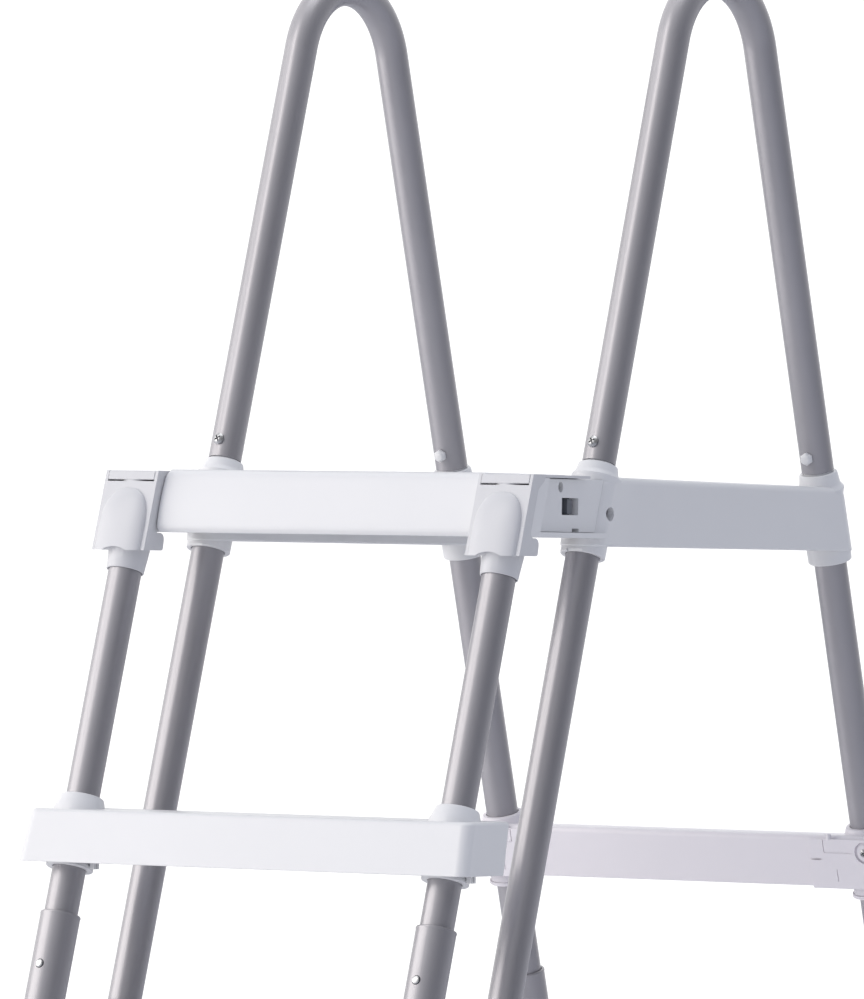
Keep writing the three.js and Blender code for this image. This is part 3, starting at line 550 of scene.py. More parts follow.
side_right = beam()
fuse(side_right, leg_socket(1), leg_socket(-1))
fuse(side_right, rail_collar(1), rail_collar(-1))
print("beam and bosses:", len(side_right.data.vertices), "vertices")

# %% [markdown]
# The latch block carries the hanger cap's grip. It is an extruded outline with softened edges; a recess
# in its outer side takes the latch panel, and a channel that opens to the front takes the socket of the
# cap. A round hole in the front boss reaches the leg's screw.

# %% Side moulding: latch block
CAP_HALF = 30
CHEEK_OUTER = STRINGER_X + CAP_HALF - 1
PANEL_OUTER = CHEEK_OUTER - 9
PANEL_INNER = PANEL_OUTER - 8
CHEEK_DEPTH = 17
LID_UNDER = 63
PANEL_BOTTOM = 13
WINDOW_RISE = 37
WINDOW_Y = cap_face(WINDOW_RISE) + 89
BLOCK_BOTTOM = 7.7


def latch_block():
    outline = rounded([
        (nose_face(BLOCK_BOTTOM), BLOCK_BOTTOM, 3),
        (-LEG_Y, BLOCK_BOTTOM, 0),
        (-LEG_Y + 12, LID_UNDER, 0),
        (nose_face(LID_UNDER), LID_UNDER, 3),
    ])
    made = piece("latch_block", across_x(outline, STRINGER_X - CAP_HALF + 1.3, CHEEK_OUTER), white_plastic)
    recess = [
        (nose_face(PANEL_BOTTOM) + CHEEK_DEPTH, PANEL_BOTTOM - 0.4),
        (-LEG_Y + 30, PANEL_BOTTOM - 0.4),
        (-LEG_Y + 30, LID_UNDER + 9),
        (nose_face(LID_UNDER + 9) + CHEEK_DEPTH, LID_UNDER + 9),
    ]
    channel = turned([(20, -90), (20, 120)], at(STRINGER_X, STRINGER_Y, 0), along(1))
    front = [
        (STRINGER_Y - 80, -20),
        (STRINGER_Y - LEAN * 20, -20),
        (STRINGER_Y + LEAN * 90, 90),
        (STRINGER_Y - 80, 90),
    ]
    mouth = across_x(front, STRINGER_X - 20, STRINGER_X + 20)
    pocket = block(196, PANEL_INNER - 4, WINDOW_Y - 24, WINDOW_Y + 34, -1, LID_UNDER - 4)
    pawl_way = block(PANEL_INNER - 6, PANEL_INNER + 2, WINDOW_Y - 15, WINDOW_Y + 22, 27, 47)
    key_way = block(PANEL_INNER - 8, PANEL_INNER + 2, WINDOW_Y - 22, WINDOW_Y - 12, 49, 61)
    edge = nose_face(WINDOW_RISE) + CHEEK_DEPTH + 5
    slot_way = block(PANEL_INNER - 8, PANEL_INNER + 2, edge - 2, edge + 8.6, 30, 46)
    panel_seat = across_x(recess, PANEL_INNER - 0.4, CHEEK_OUTER + 4)
    carve(made, panel_seat, channel, mouth, pocket, pawl_way, key_way, slot_way)
    return soften(made, 0.7, 2)


fuse(side_right, latch_block())
leg_bores = [
    turned([(17.6, -12), (17, -10), (16.4, -9.3), (16.4, 50)], at(LEG_X, -lean * LEG_Y, 0), along(lean))
    for lean in (1, -1)
]
screw_well = turned(
    [(6.6, -12.7), (6.6, 9)], at(LEG_X + BEAM_HALF, -LEG_Y + LEAN * 30.6, 30.6), Vector((1, 0, 0)), 40
)
flat = block(LEG_X - 6, LEG_X + 30, -LEG_Y - 34, -LEG_Y - 20.2, -8, -2)
carve(side_right, *leg_bores, screw_well, flat)
side_left = mirrored(side_right, "side_left")
dress(side_right, "frame", "platform_side_right")
dress(side_left, "frame", "platform_side_left")
print("side moulding:", len(side_right.data.vertices), "vertices")

# %% [markdown]
# ## The latch
# Lifting the lid draws back a grey pawl that can be seen through a window in the latch panel. The panel
# is a plate with several small openings: a square window, a round key hole, a stepped slot at its front
# edge and a low drain slot. Cutting them from a softened plate keeps their own edges crisp.

# %% Latch panel, pawl and lid
def latch_panel():
    front = CHEEK_DEPTH + 5
    top = LID_UNDER - 0.4
    outline = rounded([
        (nose_face(PANEL_BOTTOM) + front, PANEL_BOTTOM, 1.5),
        (-LEG_Y - 8, PANEL_BOTTOM, 0),
        (-LEG_Y - 8 + LEAN * top, top, 0),
        (nose_face(top) + front, top, 2),
    ])
    made = piece("lock_plate_right", across_x(outline, PANEL_INNER, PANEL_OUTER), white_plastic)
    soften(made, 0.6, 2)
    boss = turned([(BEAM_HALF + 0.4, -40), (BEAM_HALF + 0.4, 90)], at(LEG_X, -LEG_Y, 0), along(1))

    def opening(outline):
        return across_x(outline, PANEL_INNER - 2, PANEL_OUTER + 2)

    window = rounded([
        (WINDOW_Y + dy, WINDOW_RISE + dz, 1) for dy, dz in ((-14.5, -8), (14.5, -8), (14.5, 8), (-14.5, 8))
    ])
    key_hole = [
        (WINDOW_Y - 16.7 + 4.2 * math.cos(t), 55 + 5 * math.sin(t))
        for t in [2 * math.pi * i / 24 for i in range(24)]
    ]
    edge = nose_face(WINDOW_RISE) + front
    slot = [
        (edge + 1.5, 46), (edge + 6, 45.5), (edge + 6.4, 40), (edge + 4.6, 38), (edge + 5, 31),
        (edge - 2, 30), (edge - 2, 46),
    ]
    low = rounded([(WINDOW_Y + dy, z, 0.8) for dy, z in ((4, 12), (16, 12), (16, 16.5), (4, 16.5))])
    return carve(made, boss, opening(window), opening(key_hole), opening(slot), opening(low))


def latch_pawl():
    low, high = WINDOW_RISE - 8, WINDOW_RISE + 8
    plate = block(PANEL_INNER - 6.5, PANEL_INNER - 1, WINDOW_Y - 13, WINDOW_Y + 13, low, high)
    made = piece("pawl_right", plate, latch_grey)
    grip = block(PANEL_INNER - 3, PANEL_INNER + 4.5, WINDOW_Y + 0.5, WINDOW_Y + 9.5, low + 1, high - 1)
    ribs = [
        block(PANEL_INNER - 3, PANEL_INNER + 1.5, WINDOW_Y + y, WINDOW_Y + y + 1.6, low + 1, high - 1)
        for y in (-9.5, -4.5)
    ]
    fuse(made, grip, *ribs)
    return soften(made, 0.5, 2)


LID_BACK = cap_face(PLATFORM) + 106
LID_EDGE = 3.6


def latch_lid():
    """A plate over the hanger cap whose lip turns down in front."""
    lip = PLATFORM - 8.8
    thin = 2.7
    outline = rounded([
        (cap_face(lip), lip, 0.8),
        (cap_face(lip) + 3.4, lip, 0.6),
        (cap_face(PLATFORM - thin) + 3.4, PLATFORM - thin, 2),
        (LID_BACK, PLATFORM - thin, 0),
        (LID_BACK, PLATFORM, 1.2),
        (cap_face(PLATFORM), PLATFORM, 2.2),
    ])
    low, high = STRINGER_X - CAP_HALF + LID_EDGE, STRINGER_X + CAP_HALF - LID_EDGE
    # The lid takes the darker copy of the white plastic, a painted shade.
    made = soften(piece("cap_lid_right", across_x(outline, low, high), cap_plastic_painted_shade), 0.7, 2)
    barrel = turned([(2.4, 0), (2.4, 34)], at(low + 3, LID_BACK, PLATFORM - thin), Vector((1, 0, 0)), 32)
    return fuse(made, barrel)


for made, node, body in (
    (latch_panel(), "latch_panel", "frame"),
    (latch_pawl(), "latch_pawl", "latch_pawl"),
    (latch_lid(), "latch_lid", "latch_lid"),
):
    other = mirrored(made, made.name.replace("right", "left"))
    for where, half in (("right", made), ("left", other)):
        dress(half, body if body == "frame" else f"{body}_{where}", f"{node}_{where}")
print("latch pieces on both sides")

# %% [markdown]
# ## The deck
# The deck is a shallow tray turned upside down: a ribbed top, a rear apron, and in front a deep nose
# that shows between the hanger caps. The nose bulges slightly and its corners are round, so its rings
# run from end to end, drawn in near each end. The cells between the ribs below are cut out of a solid,
# and the treads above are low lofted bars.

# %% Deck, nose and treads
NOSE_HALF = STRINGER_X - CAP_HALF - 0.8
NOSE_TOP = 67.5
DECK_HALF = LEG_X - BEAM_HALF - 0.5


def nose_ring(x, inset):
    """The nose's section at one X, drawn in towards its middle by the inset."""
    bottom, top = BLOCK_BOTTOM + inset, NOSE_TOP - inset * 1.3
    ring = []
    for i in range(25):
        share = i / 24
        rise = bottom + (top - bottom) * share
        belly = 2.2 * (1 - (2 * share - 1) ** 2)
        near = 3.5 * max(0, 1 - share / 0.1) ** 2 + 4.5 * max(0, (share - 0.88) / 0.12) ** 2
        ring.append(at(x, nose_face(rise) - 1.8 - belly + near + inset * 0.5, rise))
    back = -LEG_Y + 20
    ring += [at(x, back, top), at(x, back, bottom)]
    return ring


def nose():
    ends = [(NOSE_HALF - drop, inset * 0.8) for inset, drop in edge_arc(4, 6)]
    rings = [nose_ring(-x, inset) for x, inset in reversed(ends)]
    rings += [nose_ring(x, inset) for x, inset in ends]
    return skin(rings)


def deck():
    rear = LEG_Y + BEAM_HALF
    rear_top = rear - LEAN * (PLATFORM - DECK_FALL)
    outline = rounded([
        (-LEG_Y + 0.5, 12, 0),
        (rear - LEAN * 12, 12, 2),
        (rear_top, deck_top(rear_top), 8),
        (-LEG_Y + 0.5, deck_top(-LEG_Y), 0),
    ])
    made = piece("deck", across_x(outline, -DECK_HALF, DECK_HALF), white_plastic)
    fuse(made, nose())
    pitch = (2 * DECK_HALF - 4) / 5
    cells = []
    for i in range(5):
        x0 = -DECK_HALF + 4 + i * pitch
        x1 = x0 + pitch - 3
        front = nose_face(0) + 24 if 0 < i < 4 else -LEG_Y + 5
        for y0, y1 in ((front, -3), (3, rear_top - 4)):
            ring = rounded([(x0, y0, 5), (x1, y0, 5), (x1, y1, 5), (x0, y1, 5)])
            cells.append(skin([[at(x, y, rise) for x, y in ring] for rise in (-50, 58)]))
    return carve(made, *cells)


TREADS = 14
TREAD_HALF = DECK_HALF - 14
TREAD_ENDS = (-LEG_Y + 18, LEG_Y - 15)


def tread(x0, x1, y):
    """A low bar with round ends and soft shoulders, a little proud of the deck."""
    rings = []
    for height, inset in ((-1, 0), (0.8, 0), (1.25, 0.35), (1.4, 1.0)):
        corners = [(x0 + inset, y - 3.5 + inset), (x1 - inset, y - 3.5 + inset)]
        corners += [(x1 - inset, y + 3.5 - inset), (x0 + inset, y + 3.5 - inset)]
        ring = rounded([(a, b, 2.2) for a, b in corners], 4)
        rings.append([at(a, b, deck_top(b) + height) for a, b in ring])
    return skin(rings)


deck_piece = deck()
dress(deck_piece, "frame", "platform_deck")
grip = bmesh.new()
for i in range(TREADS):
    y = TREAD_ENDS[0] + (TREAD_ENDS[1] - TREAD_ENDS[0]) * i / (TREADS - 1)
    for x0, x1 in ((-TREAD_HALF, -62), (-56, 56), (62, TREAD_HALF)):
        bar = bpy.data.meshes.new("bar")
        tread(x0, x1, y).to_mesh(bar)
        grip.from_mesh(bar)
        bpy.data.meshes.remove(bar)
dress(piece("deck_treads", grip, white_plastic), "frame")
print("deck:", len(deck_piece.data.vertices), "vertices,", TREADS, "rows of treads")

# %% [markdown]
# ## Hanger caps
# The entry section hangs from the platform's nose by two caps. Each is a clasp: a leaning face plate,
# side walls shaped like a C that grip the nose, and a swelling in front that houses the stringer's top.
# The body is extruded, hollowed and softened. The swelling is a loft of half ellipses that narrows to a
# dome, so that it grows out of the plate the way a moulded boss does. An arch is cut below its front
# face, and a slightly conical ring under it takes the stringer.

# %% Hanger cap
CAP_BOTTOM = -10
CAP_OUTER = STRINGER_X + CAP_HALF
CAP_INNER = STRINGER_X - CAP_HALF
SWELL_TOP = 49.5
SWELL_HALF = 25.5
SWELL_PROUD = 9


def cap_body():
    face_top = PLATFORM - 10.2
    outline = rounded([
        (cap_face(CAP_BOTTOM), CAP_BOTTOM, 0),
        (cap_face(CAP_BOTTOM) + 32, CAP_BOTTOM, 3),
        (cap_face(6.5) + 30, 6.7, 6),
        (nose_face(7) - 0.6, 6.7, 4),
        (nose_face(52) - 0.6, 52, 5),
        (cap_face(58) + 22, 60, 4),
        (cap_face(PLATFORM) + 22, PLATFORM, 1),
        (cap_face(PLATFORM) + 0.4, PLATFORM, 1),
    ])
    # The cap takes the darker copy of the white plastic, a painted shade.
    made = piece("cap_body", across_x(outline, CAP_INNER, CAP_OUTER), cap_plastic_painted_shade)
    hollow = [
        (cap_face(CAP_BOTTOM + 3) + 4, CAP_BOTTOM + 3),
        (cap_face(CAP_BOTTOM) + 60, CAP_BOTTOM + 3),
        (cap_face(80) + 60, 80),
        (cap_face(80) + 4, 80),
    ]
    lid_seat = [
        (cap_face(face_top) - 3, face_top),
        (cap_face(face_top) + 60, face_top),
        (cap_face(80) + 60, 80),
        (cap_face(80) - 3, 80),
    ]
    seat = across_x(lid_seat, CAP_INNER + 3.2, CAP_OUTER - 3.2)
    carve(made, across_x(hollow, CAP_INNER + 3, CAP_OUTER - 3), seat)
    return soften(made, 1.1, 3)


def swelling():
    """Half ellipses up the face plate that close in a dome."""
    rings = []
    for i in range(29):
        climb = i / 28
        rise = CAP_BOTTOM + (SWELL_TOP - CAP_BOTTOM) * (1 - (1 - climb) ** 1.6)
        taper = max(0.0, (rise - 12) / (SWELL_TOP - 12))
        share = max(0.0, 1 - taper**2.6) ** 0.45
        half, proud = SWELL_HALF * (0.05 + 0.95 * share), SWELL_PROUD * share**1.2 - 0.5
        ring = []
        for k in range(33):
            turn = math.pi * k / 32
            bulge = proud * math.sin(turn) ** 0.8
            ring.append(at(STRINGER_X - half * math.cos(turn), cap_face(rise) - bulge, rise))
        ring += [at(STRINGER_X + edge, cap_face(rise) + 2, rise) for edge in (half, -half)]
        rings.append(ring)
    return skin(rings)


def cap_socket():
    """The sleeve round the stringer: hidden above, a slightly conical ring below."""
    start = at(STRINGER_X, STRINGER_Y, 0)
    return turned([(17.6, -31.8), (18.1, -31.2), (19.9, -8), (18.6, -5), (17.8, 56)], start, along(1), 64)


cap_right = cap_body()
fuse(cap_right, swelling())
arch = turned([(30, 0), (30, 34)], at(STRINGER_X, cap_face(-37) - 16, -42.6), Vector((0, 1, LEAN)), 96)
carve(cap_right, arch)
fuse(cap_right, cap_socket())
cap_bore = [(17.3, -34), (16.9, -31.9), (16.4, -31.1), (16.4, 52)]
carve(cap_right, turned(cap_bore, at(STRINGER_X, STRINGER_Y, 0), along(1)))
cap_left = mirrored(cap_right, "hanger_cap_piece_left")
cap_right.name = "hanger_cap_piece_right"
dress(cap_right, "entry_section", "hanger_cap_right")
dress(cap_left, "entry_section", "hanger_cap_left")
print("hanger caps:", len(cap_right.data.vertices), "vertices each")

# %% [markdown]
# ## Legs, sleeves and snap buttons
# An upper tube slides into a lower one and a sprung button locks them through matching holes. The lower
# tube has a rolled lip at its mouth, so it is turned from a profile and its button hole is cut. The
# button is a turned dome. Behind it a bent ribbon stands in for the strip spring: it is stiff and
# moves with the button, where a real one is held in the tube and bends.

# %% Legs and buttons
JOINTS = {"front_leg": 442, "rear_leg": 430, "stringer": 354}
TUBE_TOP = 49.5
OVERLAP = 92
BUTTON_DROP = 53


def button_hole(line, side, radius):
    lean = TUBE_LINES[line][2]
    outward = Vector((0, -lean * COS, SIN))
    centre = on_line(line, side, -JOINTS[line]) - along(lean) * BUTTON_DROP * MM
    return centre, outward, turned([(radius, 6), (radius, 30)], centre, outward, 40)


def lower_tube(line, side, where):
    lean = TUBE_LINES[line][2]
    mouth = on_line(line, side, -JOINTS[line])
    bore = LOWER_TUBE - TUBE_WALL
    end = -(CENTRE.z / MM - JOINTS[line]) / COS + 8 + LOWER_TUBE * LEAN + 0.6
    profile = [(bore, end), (LOWER_TUBE, end), (LOWER_TUBE, -3.2), (19.25, -2.4), (19.3, -1.2), (18.9, -0.35)]
    profile += [(18.2, 0), (17, -0.1), (16.3, -0.9), (16.3, -OVERLAP - 3), (bore, -OVERLAP - 8)]
    name = f"{line}_lower_tube_{where}"
    made = piece(name, turned(profile, mouth, along(lean), 72, hollow=True), powder_coat)
    return carve(made, button_hole(line, side, 4.5)[2])


def snap_button(line, side, where):
    centre, outward, _ = button_hole(line, side, 4.5)
    profile = [(6, 6.5), (6, 8.6), (4, 9), (4, LOWER_TUBE + 0.4)]
    for step in range(1, 6):
        turn = step / 5 * math.pi / 2
        profile.append((4 - 1.8 * (1 - math.cos(turn)), LOWER_TUBE + 0.4 + 1.0 * math.sin(turn)))
    profile.append((0.2, LOWER_TUBE + 1.55))
    return piece(f"{line}_snap_button_{where}", turned(profile, centre, outward, 40), zinc)


def strip_spring(line, side, where):
    """A bent ribbon behind the button, as wide as a finger nail."""
    lean = TUBE_LINES[line][2]
    centre, outward, _ = button_hole(line, side, 4.5)
    route = [(-7, 34), (-8.5, 12), (-8, 2), (-5, -3), (-1, -3.5), (3, 0), (5.6, 6)]
    rings = []
    for depth, drop in route:
        middle = centre + outward * depth * MM - along(lean) * (16 - drop - 10) * MM
        width, thick = Vector((4, 0, 0)) * MM, (outward - along(lean) * 0.4).normalized() * 0.35 * MM
        rings.append([
            middle - width - thick, middle + width - thick, middle + width + thick, middle - width + thick
        ])
    return piece(f"{line}_strip_spring_{where}", skin(rings), zinc)


for line, (x, y, lean) in TUBE_LINES.items():
    body = "entry_section" if line == "stringer" else "frame"
    for where, side in SIDES:
        top = on_line(line, side, TUBE_TOP)
        end = on_line(line, side, -JOINTS[line]) - along(lean) * OVERLAP * MM
        upper = pipe(f"{line}_upper_tube_{where}", [end, top], [along(lean)] * 2, TUBE)
        carve(upper, button_hole(line, side, 4.5)[2])
        dress(upper, body, f"{line}_upper_{where}")
        dress(lower_tube(line, side, where), body, f"{line}_lower_{where}")
        dress(snap_button(line, side, where), f"{line}_button_{where}", f"{line}_button_{where}")
        dress(strip_spring(line, side, where), f"{line}_button_{where}")
print("six legs with their sleeves and buttons")

# %% [markdown]
# ## Feet and base bars
# A pale rubber boot closes each leg, with a dimpled flat sole and grip rings round its foot. The boots of the
# fixed frame carry a cross sleeve for a bar that keeps the legs apart. A boot leans with its tube but
# stands level, so it is a loft of level circles whose centres follow the tube.

# %% Feet and bars
BAR_HEIGHT = 21
DIMPLE_RADIUS = 6


def boot(line, side, where):
    lean = TUBE_LINES[line][2]
    rings = []
    floor = -CENTRE.z / MM
    for height, radius in (
        (0, 27.5), (0.8, 29.3), (2.5, 30.6), (5, 31), (7, 30.4), (8.4, 28.6), (9.6, 26.4), (12, 25.2),
        (30, 24.7), (33, 24.7), (33.8, 25.7), (37, 25.7), (37.8, 24.6), (41, 24.5), (41.8, 25.6), (45, 25.6),
        (45.8, 24.4), (49, 24.4), (49.8, 25.5), (53, 25.5), (53.8, 24.3), (70, 23.8), (72, 23.5), (73, 22.6),
    ):
        rings.append(circle(on_line(line, side, floor + height), Vector((0, 0, 1)), radius, 64))
    made = piece(f"{line}_boot_{where}", skin(rings), foot_rubber)
    if line != "stringer":
        start = on_line(line, side, floor + BAR_HEIGHT)
        sleeve = [(0.2, 10), (20.4, 10), (20.4, 50), (20.9, 51), (20.9, 57), (20.2, 57.9), (16.4, 58)]
        sleeve += [(16.4, 22.6), (0.2, 22.6)]
        fuse(made, turned(sleeve, start, Vector((-side, 0, 0)), 64))
    bore_start = on_line(line, side, floor + 14.5)
    carve(made, turned([(LOWER_TUBE + 0.4, 0), (LOWER_TUBE + 0.4, 90)], bore_start, along(lean), 64))
    dimple = circle(on_line(line, side, floor), Vector((0, 0, 1)), DIMPLE_RADIUS, 48)
    return carve(made, skin([[Vector((p.x, p.y, z)) for p in dimple] for z in (-0.001, 0.0016)]))


for line in TUBE_LINES:
    body = "entry_section" if line == "stringer" else "frame"
    for where, side in SIDES:
        dress(boot(line, side, where), body, f"{line}_foot_{where}")
for line in ("front_leg", "rear_leg"):
    rise = BAR_HEIGHT - CENTRE.z / MM
    ends = [on_line(line, side, rise) + Vector((-side * 23.4 * MM, 0, 0)) for side in (-1, 1)]
    bar = pipe(f"{line}_cross_bar", ends, [Vector((1, 0, 0))] * 2, TUBE)
    dress(bar, "frame", f"{line.split('_')[0]}_base_bar")
print("six boots and two bars")

# %% [markdown]
# ## Steps
# The steps are hollow mouldings with drafted walls, round corners and a ribbed underside. One loft
# makes the whole shell: it starts at the ceiling of the hollow, comes down inside, turns round the
# bottom rim, goes up outside and closes over the rounded top edge. Collars above and clamp rings below
# are turned round the leaning tubes and fused, and the tubes' holes are cut last.

# %% Step shell
STEP_LENGTH = 496
STEP_DEPTH = 75
STEP_FRONT = 33.5
STEP_DRAFT = 4
STEP_CORNER = 11
ENTRY_HEIGHT, ENTRY_EDGE, ENTRY_DROP = 49.5, 3.4, 255
POOL_HEIGHT, POOL_EDGE, POOL_DROP = 51, 7, 280
LEVELS = {"top": 0, "middle": 321, "bottom": 642}


def step_ring(place, lean, drop, inset):
    """The step's outline at a depth below its top, following the lean of the tubes."""
    half = STEP_LENGTH / 2 + STEP_DRAFT * drop / 50 - inset
    y0, y1 = -STEP_FRONT + inset, STEP_DEPTH - STEP_FRONT - inset
    corner = max(1.5, STEP_CORNER - inset)
    outline = rounded([(-half, y0, corner), (half, y0, corner), (half, y1, corner), (-half, y1, corner)], 8)
    return [place + Vector((x, y - lean * LEAN * drop, -drop)) * MM for x, y in outline]


def step_shell(name, place, lean, height, edge, material):
    hollow = [(3.5, 5), (6, 3.8), (height, 3.2)]
    rim = [(height, 0.9), (height - 0.3, 0.3), (height - 0.9, 0)]
    outside = [(drop, inset) for inset, drop in edge_arc(edge, 6)]
    rings = [step_ring(place, lean, drop, inset) for drop, inset in hollow + rim + outside]
    return piece(name, skin(rings), material)


def step_ribs(place, lean, height, tube_x):
    """Thin walls across and along the hollow, a little short of the rim."""
    tools = []
    low = height - 2.5
    for x in [tube_x * share for share in (-0.72, -0.48, -0.24, 0, 0.24, 0.48, 0.72)]:
        rings = []
        for dx in (-1, 1):
            y0, y1 = -STEP_FRONT + 2.5, STEP_DEPTH - STEP_FRONT - 2.5
            corners = ((y0 - lean * LEAN * low, -low), (y1 - lean * LEAN * low, -low), (y1, -2), (y0, -2))
            rings.append([place + Vector((x + dx, y, z)) * MM for y, z in corners])
        tools.append(skin(rings))
    middle = STEP_DEPTH / 2 - STEP_FRONT
    rings = []
    for dy in (-1, 1):
        reach = tube_x - 20
        ends = ((-reach, -2), (reach, -2), (reach, -low), (-reach, -low))
        rings.append([place + Vector((x, middle + dy + lean * LEAN * z, z)) * MM for x, z in ends])
    tools.append(skin(rings))
    return tools


print("step shell ready")

# %% [markdown]
# The clamp ring below each end of a step is split, with two ears drawn together by a screw. Above, the
# collar is a short cone with a soft rim. Both follow the tube, while the step itself stays level.

# %% Steps on both sides
def step_collar(foot, lean, tube):
    upper = [(tube + 9.6, -9), (tube + 9, -2), (tube + 7.4, 2), (tube + 4.9, 9.6), (tube + 4.2, 10.8)]
    upper.append((tube + 3.2, 11.3))
    return turned(upper, foot, along(lean), 64)


def step_socket(foot, lean, tube, height):
    low = -(height + 7) / COS
    lower = [(tube + 4.4, -3), (tube + 5, low + 4), (tube + 6.4, low + 3.4), (tube + 6.6, low + 0.6)]
    return turned(lower + [(tube + 6, low)], foot, along(lean), 64)


def tube_hole(foot, lean, tube, height):
    """The bore through a step, with a small chamfer at both mouths."""
    low = -(height + 7) / COS
    profile = [(tube + 1.4, low - 2), (tube + 0.4, low + 0.7), (tube + 0.4, 10.7), (tube + 1.5, 13)]
    return turned(profile, foot, along(lean), 64)


def clamp_ears(foot, lean, tube, height):
    """Two ears beside the clamp ring, with a slot between them."""
    low = foot - along(lean) * (height + 4.5) / COS * MM
    ears = []
    for gap in (-4.2, 1.2):
        corners = ((tube + 3, gap), (tube + 12, gap), (tube + 12, gap + 3), (tube + 3, gap + 3))
        ears.append(skin([[low + Vector((a, b + 4, z)) * MM for a, b in corners] for z in (-2.4, 6)]))
    return ears


def ladder_step(name, node, place, lean, height, tube_x, tube, edge, material, body):
    made = step_shell(name, place, lean, height, edge, material)
    feet = [place + Vector((side * tube_x, 0, 0)) * MM for _, side in SIDES]
    fuse(made, *step_ribs(place, lean, height, tube_x))
    for foot in feet:
        fuse(made, step_collar(foot, lean, tube), step_socket(foot, lean, tube, height))
        fuse(made, *clamp_ears(foot, lean, tube, height))
        carve(made, tube_hole(foot, lean, tube, height))
    vents = []
    for x in (-1, 1) if lean < 0 else (1,):
        ring = rounded([(-20, -1.6, 1.5), (20, -1.6, 1.5), (20, 1.6, 1.5), (-20, 1.6, 1.5)])
        middle = place + Vector((x * (tube_x - 48), -STEP_FRONT + 9, 0)) * MM
        vents.append(skin([[middle + Vector((a, b, z)) * MM for a, b in ring] for z in (-1.6, 1)]))
    carve(made, *vents)
    dress(made, body, node)
    for (where, _), foot in zip(SIDES, feet):
        seat = foot - along(lean) * (height + 4.5) / COS * MM + Vector((tube + 8.5, 8.4, 1.6)) * MM
        screw = pan_screw(f"{name}_screw_{where}", seat, Vector((0.35, 1, 0)), 3.6, 1.9, 9, zinc)
        dress(screw, body)


for level, drop in LEVELS.items():
    entry_drop, pool_drop = ENTRY_DROP + drop, POOL_DROP + drop
    entry_tube = LOWER_TUBE if entry_drop > JOINTS["stringer"] else TUBE
    entry_place = at(0, STRINGER_Y - LEAN * entry_drop, -entry_drop)
    ladder_step(
        f"entry_tread_{level}", f"entry_step_{level}", entry_place, 1, ENTRY_HEIGHT, STRINGER_X,
        entry_tube, ENTRY_EDGE, white_plastic, "entry_section",
    )
    pool_tube = LOWER_TUBE if pool_drop > JOINTS["rear_leg"] else TUBE
    pool_place = at(0, LEG_Y + LEAN * pool_drop, -pool_drop)
    ladder_step(
        f"pool_tread_{level}", f"pool_step_{level}", pool_place, -1, POOL_HEIGHT, LEG_X,
        pool_tube, POOL_EDGE, pool_plastic, "frame",
    )
print("six steps")

# %% [markdown]
# Each pool step is tied to its legs by a clamp plate on the dry side. The plate has a ringed screw
# recess outboard of the tube and four straight grooves, all of them shallow relief that catches a line
# of light, and a small pin stands near its top edge.

# %% Clamp plates
CLAMP_INNER = 48
CLAMP_OUTER = 36
CLAMP_THICK = 4
RECESS_X = 15
RECESS_DROP = 17


def clamp_plate(name, place, side):
    def leaning(outline, depths):
        rings = []
        for depth in depths:
            ring = []
            for x, drop in outline:
                y = -STEP_FRONT - depth + LEAN * (drop - 2)
                ring.append(place + Vector((side * (LEG_X + x), y, -drop)) * MM)
            rings.append(ring if side > 0 else ring[::-1])
        return skin(rings)

    low = POOL_HEIGHT + 2
    body = rounded([(-CLAMP_INNER, 4, 1), (CLAMP_OUTER, 4, 5), (CLAMP_OUTER, low, 3), (-CLAMP_INNER, low, 1)])
    made = piece(name, leaning(body, (0.3, CLAMP_THICK)), pool_plastic)
    soften(made, 0.8, 3)
    turns = [2 * math.pi * i / 40 for i in range(40)]
    disc = [(RECESS_X + 10.5 * math.cos(t), RECESS_DROP + 10.5 * math.sin(t)) for t in turns]
    hub = [(RECESS_X + 7.8 * math.cos(t), RECESS_DROP + 7.8 * math.sin(t)) for t in turns]
    carve(made, leaning(disc, (1.2, 9)))
    fuse(made, leaning(hub, (0.8, 3.6)))
    for x0, x1, y0, y1, floor_depth in (
        (-CLAMP_INNER - 2, -CLAMP_INNER + 14, 23.5, 25.1, 0.6),
        (-18.6, -17.6, 34, 46, 2.6),
        (-31, -30, 5, 17, 2.4),
        (-30.5, 2, 17.2, 17.9, 3),
    ):
        groove = [(x0, y0), (x1, y0), (x1, y1), (x0, y1)]
        carve(made, leaning(groove, (floor_depth, 9)))
    pin_foot = place + Vector((side * (LEG_X - 24), -STEP_FRONT - 1.6, -5)) * MM
    return fuse(made, turned([(2.4, 0), (2.4, 5.2), (1.8, 6)], pin_foot, Vector((0, 0, 1)), 24))


for level, extra in LEVELS.items():
    drop = POOL_DROP + extra
    place = at(0, LEG_Y + LEAN * drop, -drop)
    for where, side in SIDES:
        name = f"pool_tread_{level}_plate_{where}"
        dress(clamp_plate(name, place, side), "frame", f"pool_step_{level}_clamp_{where}")
        seat_y = -STEP_FRONT - 3.5 + LEAN * (RECESS_DROP - 2)
        face = place + Vector((side * (LEG_X + RECESS_X), seat_y, -RECESS_DROP)) * MM
        outward = Vector((0, -COS, -SIN))
        dress(pan_screw(f"{name}_screw", face, outward, 4.2, 2.2, 12, zinc), "frame")
print("six clamp plates")

# %% [markdown]
# ## Floor and light
# The floor is one pale disc. A high key light and a large wall of light, both from the left front, make
# the bright stripe on the tubes and the white of the faces that look that way, and a soft light overhead
# fills the tops. The sky is white to the camera. To matt surfaces it is a bluish grey, which tints the
# faces turned away, and to glossy ones it is bright on the left and dark on the right.

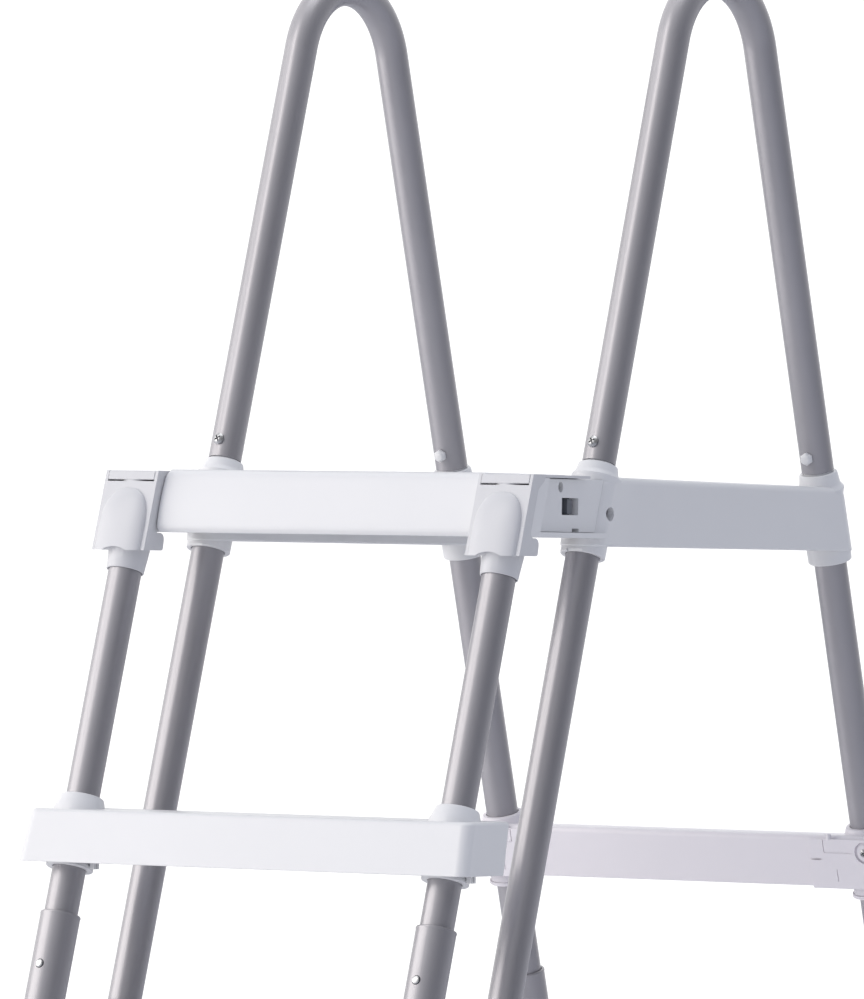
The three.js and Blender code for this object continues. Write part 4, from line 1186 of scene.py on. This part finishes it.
# %% Floor, lights and sky
FLOOR_RADIUS = 12
disc = bmesh.new()
rim = circle(Vector((0, 0, 0)), Vector((0, 0, 1)), FLOOR_RADIUS / MM, 96)
disc.faces.new([disc.verts.new(point) for point in rim])
floor_finish = finish("floor", (0.86, 0.86, 0.87), 0.7, grain=60, relief=0.02, drift=0.01)
floor = piece("floor", disc, floor_finish)


def soft_light(name, place, aim, size, power, colour):
    lamp = bpy.data.lights.new(name, "AREA")
    lamp.shape = "RECTANGLE"
    lamp.size, lamp.size_y = size
    lamp.energy = power
    lamp.color = colour
    holder = bpy.data.objects.new(name, lamp)
    holder.location = place
    holder.rotation_euler = (Vector(aim) - Vector(place)).to_track_quat("-Z", "Y").to_euler()
    holder.visible_camera = False
    bpy.context.scene.collection.objects.link(holder)


soft_light("key", (-2.6, -4.9, 5.4), (0, 0, 1.1), (1.8, 3.0), 74, (1, 0.95, 0.9))
soft_light("left wall", (-3.8, -3.0, 1.7), (0, 0, 1.1), (4.0, 3.4), 108, (1, 0.955, 0.9))
soft_light("top", (0, 0.5, 5.5), (0, 0, 1), (3, 3), 50, (1, 1, 1))

sky = bpy.data.worlds.new("sky")
sky.use_nodes = True
nodes, links = sky.node_tree.nodes, sky.node_tree.links
surround = nodes["Background"]
surround.inputs["Color"].default_value = (0.82, 0.86, 1, 1)
surround.inputs["Strength"].default_value = 0.59
backdrop = add_node(nodes, "ShaderNodeBackground", Color=(1, 1, 1, 1))
seen = nodes.new("ShaderNodeLightPath")
either = nodes.new("ShaderNodeMath")
either.operation = "MAXIMUM"
links.new(seen.outputs["Is Camera Ray"], either.inputs[0])
links.new(seen.outputs["Is Glossy Ray"], either.inputs[1])
ahead = nodes.new("ShaderNodeTexCoord")
depth = nodes.new("ShaderNodeVectorMath")
depth.operation = "DOT_PRODUCT"
depth.inputs[1].default_value = (-0.99, 0.13, 0)
links.new(ahead.outputs["Generated"], depth.inputs[0])
wrap = add_node(nodes, "ShaderNodeMapRange", From_Min=-1.0, From_Max=0.4, To_Min=0.06, To_Max=1.2)
links.new(depth.outputs["Value"], wrap.inputs["Value"])
brightness = nodes.new("ShaderNodeMath")
brightness.operation = "MAXIMUM"
links.new(wrap.outputs["Result"], brightness.inputs[0])
links.new(seen.outputs["Is Camera Ray"], brightness.inputs[1])
links.new(brightness.outputs["Value"], backdrop.inputs["Strength"])
choose = nodes.new("ShaderNodeMixShader")
links.new(either.outputs["Value"], choose.inputs["Fac"])
links.new(surround.outputs["Background"], choose.inputs[1])
links.new(backdrop.outputs["Background"], choose.inputs[2])
links.new(choose.outputs["Shader"], nodes["World Output"].inputs["Surface"])
bpy.context.scene.world = sky
print("three lights, a sky and a floor")
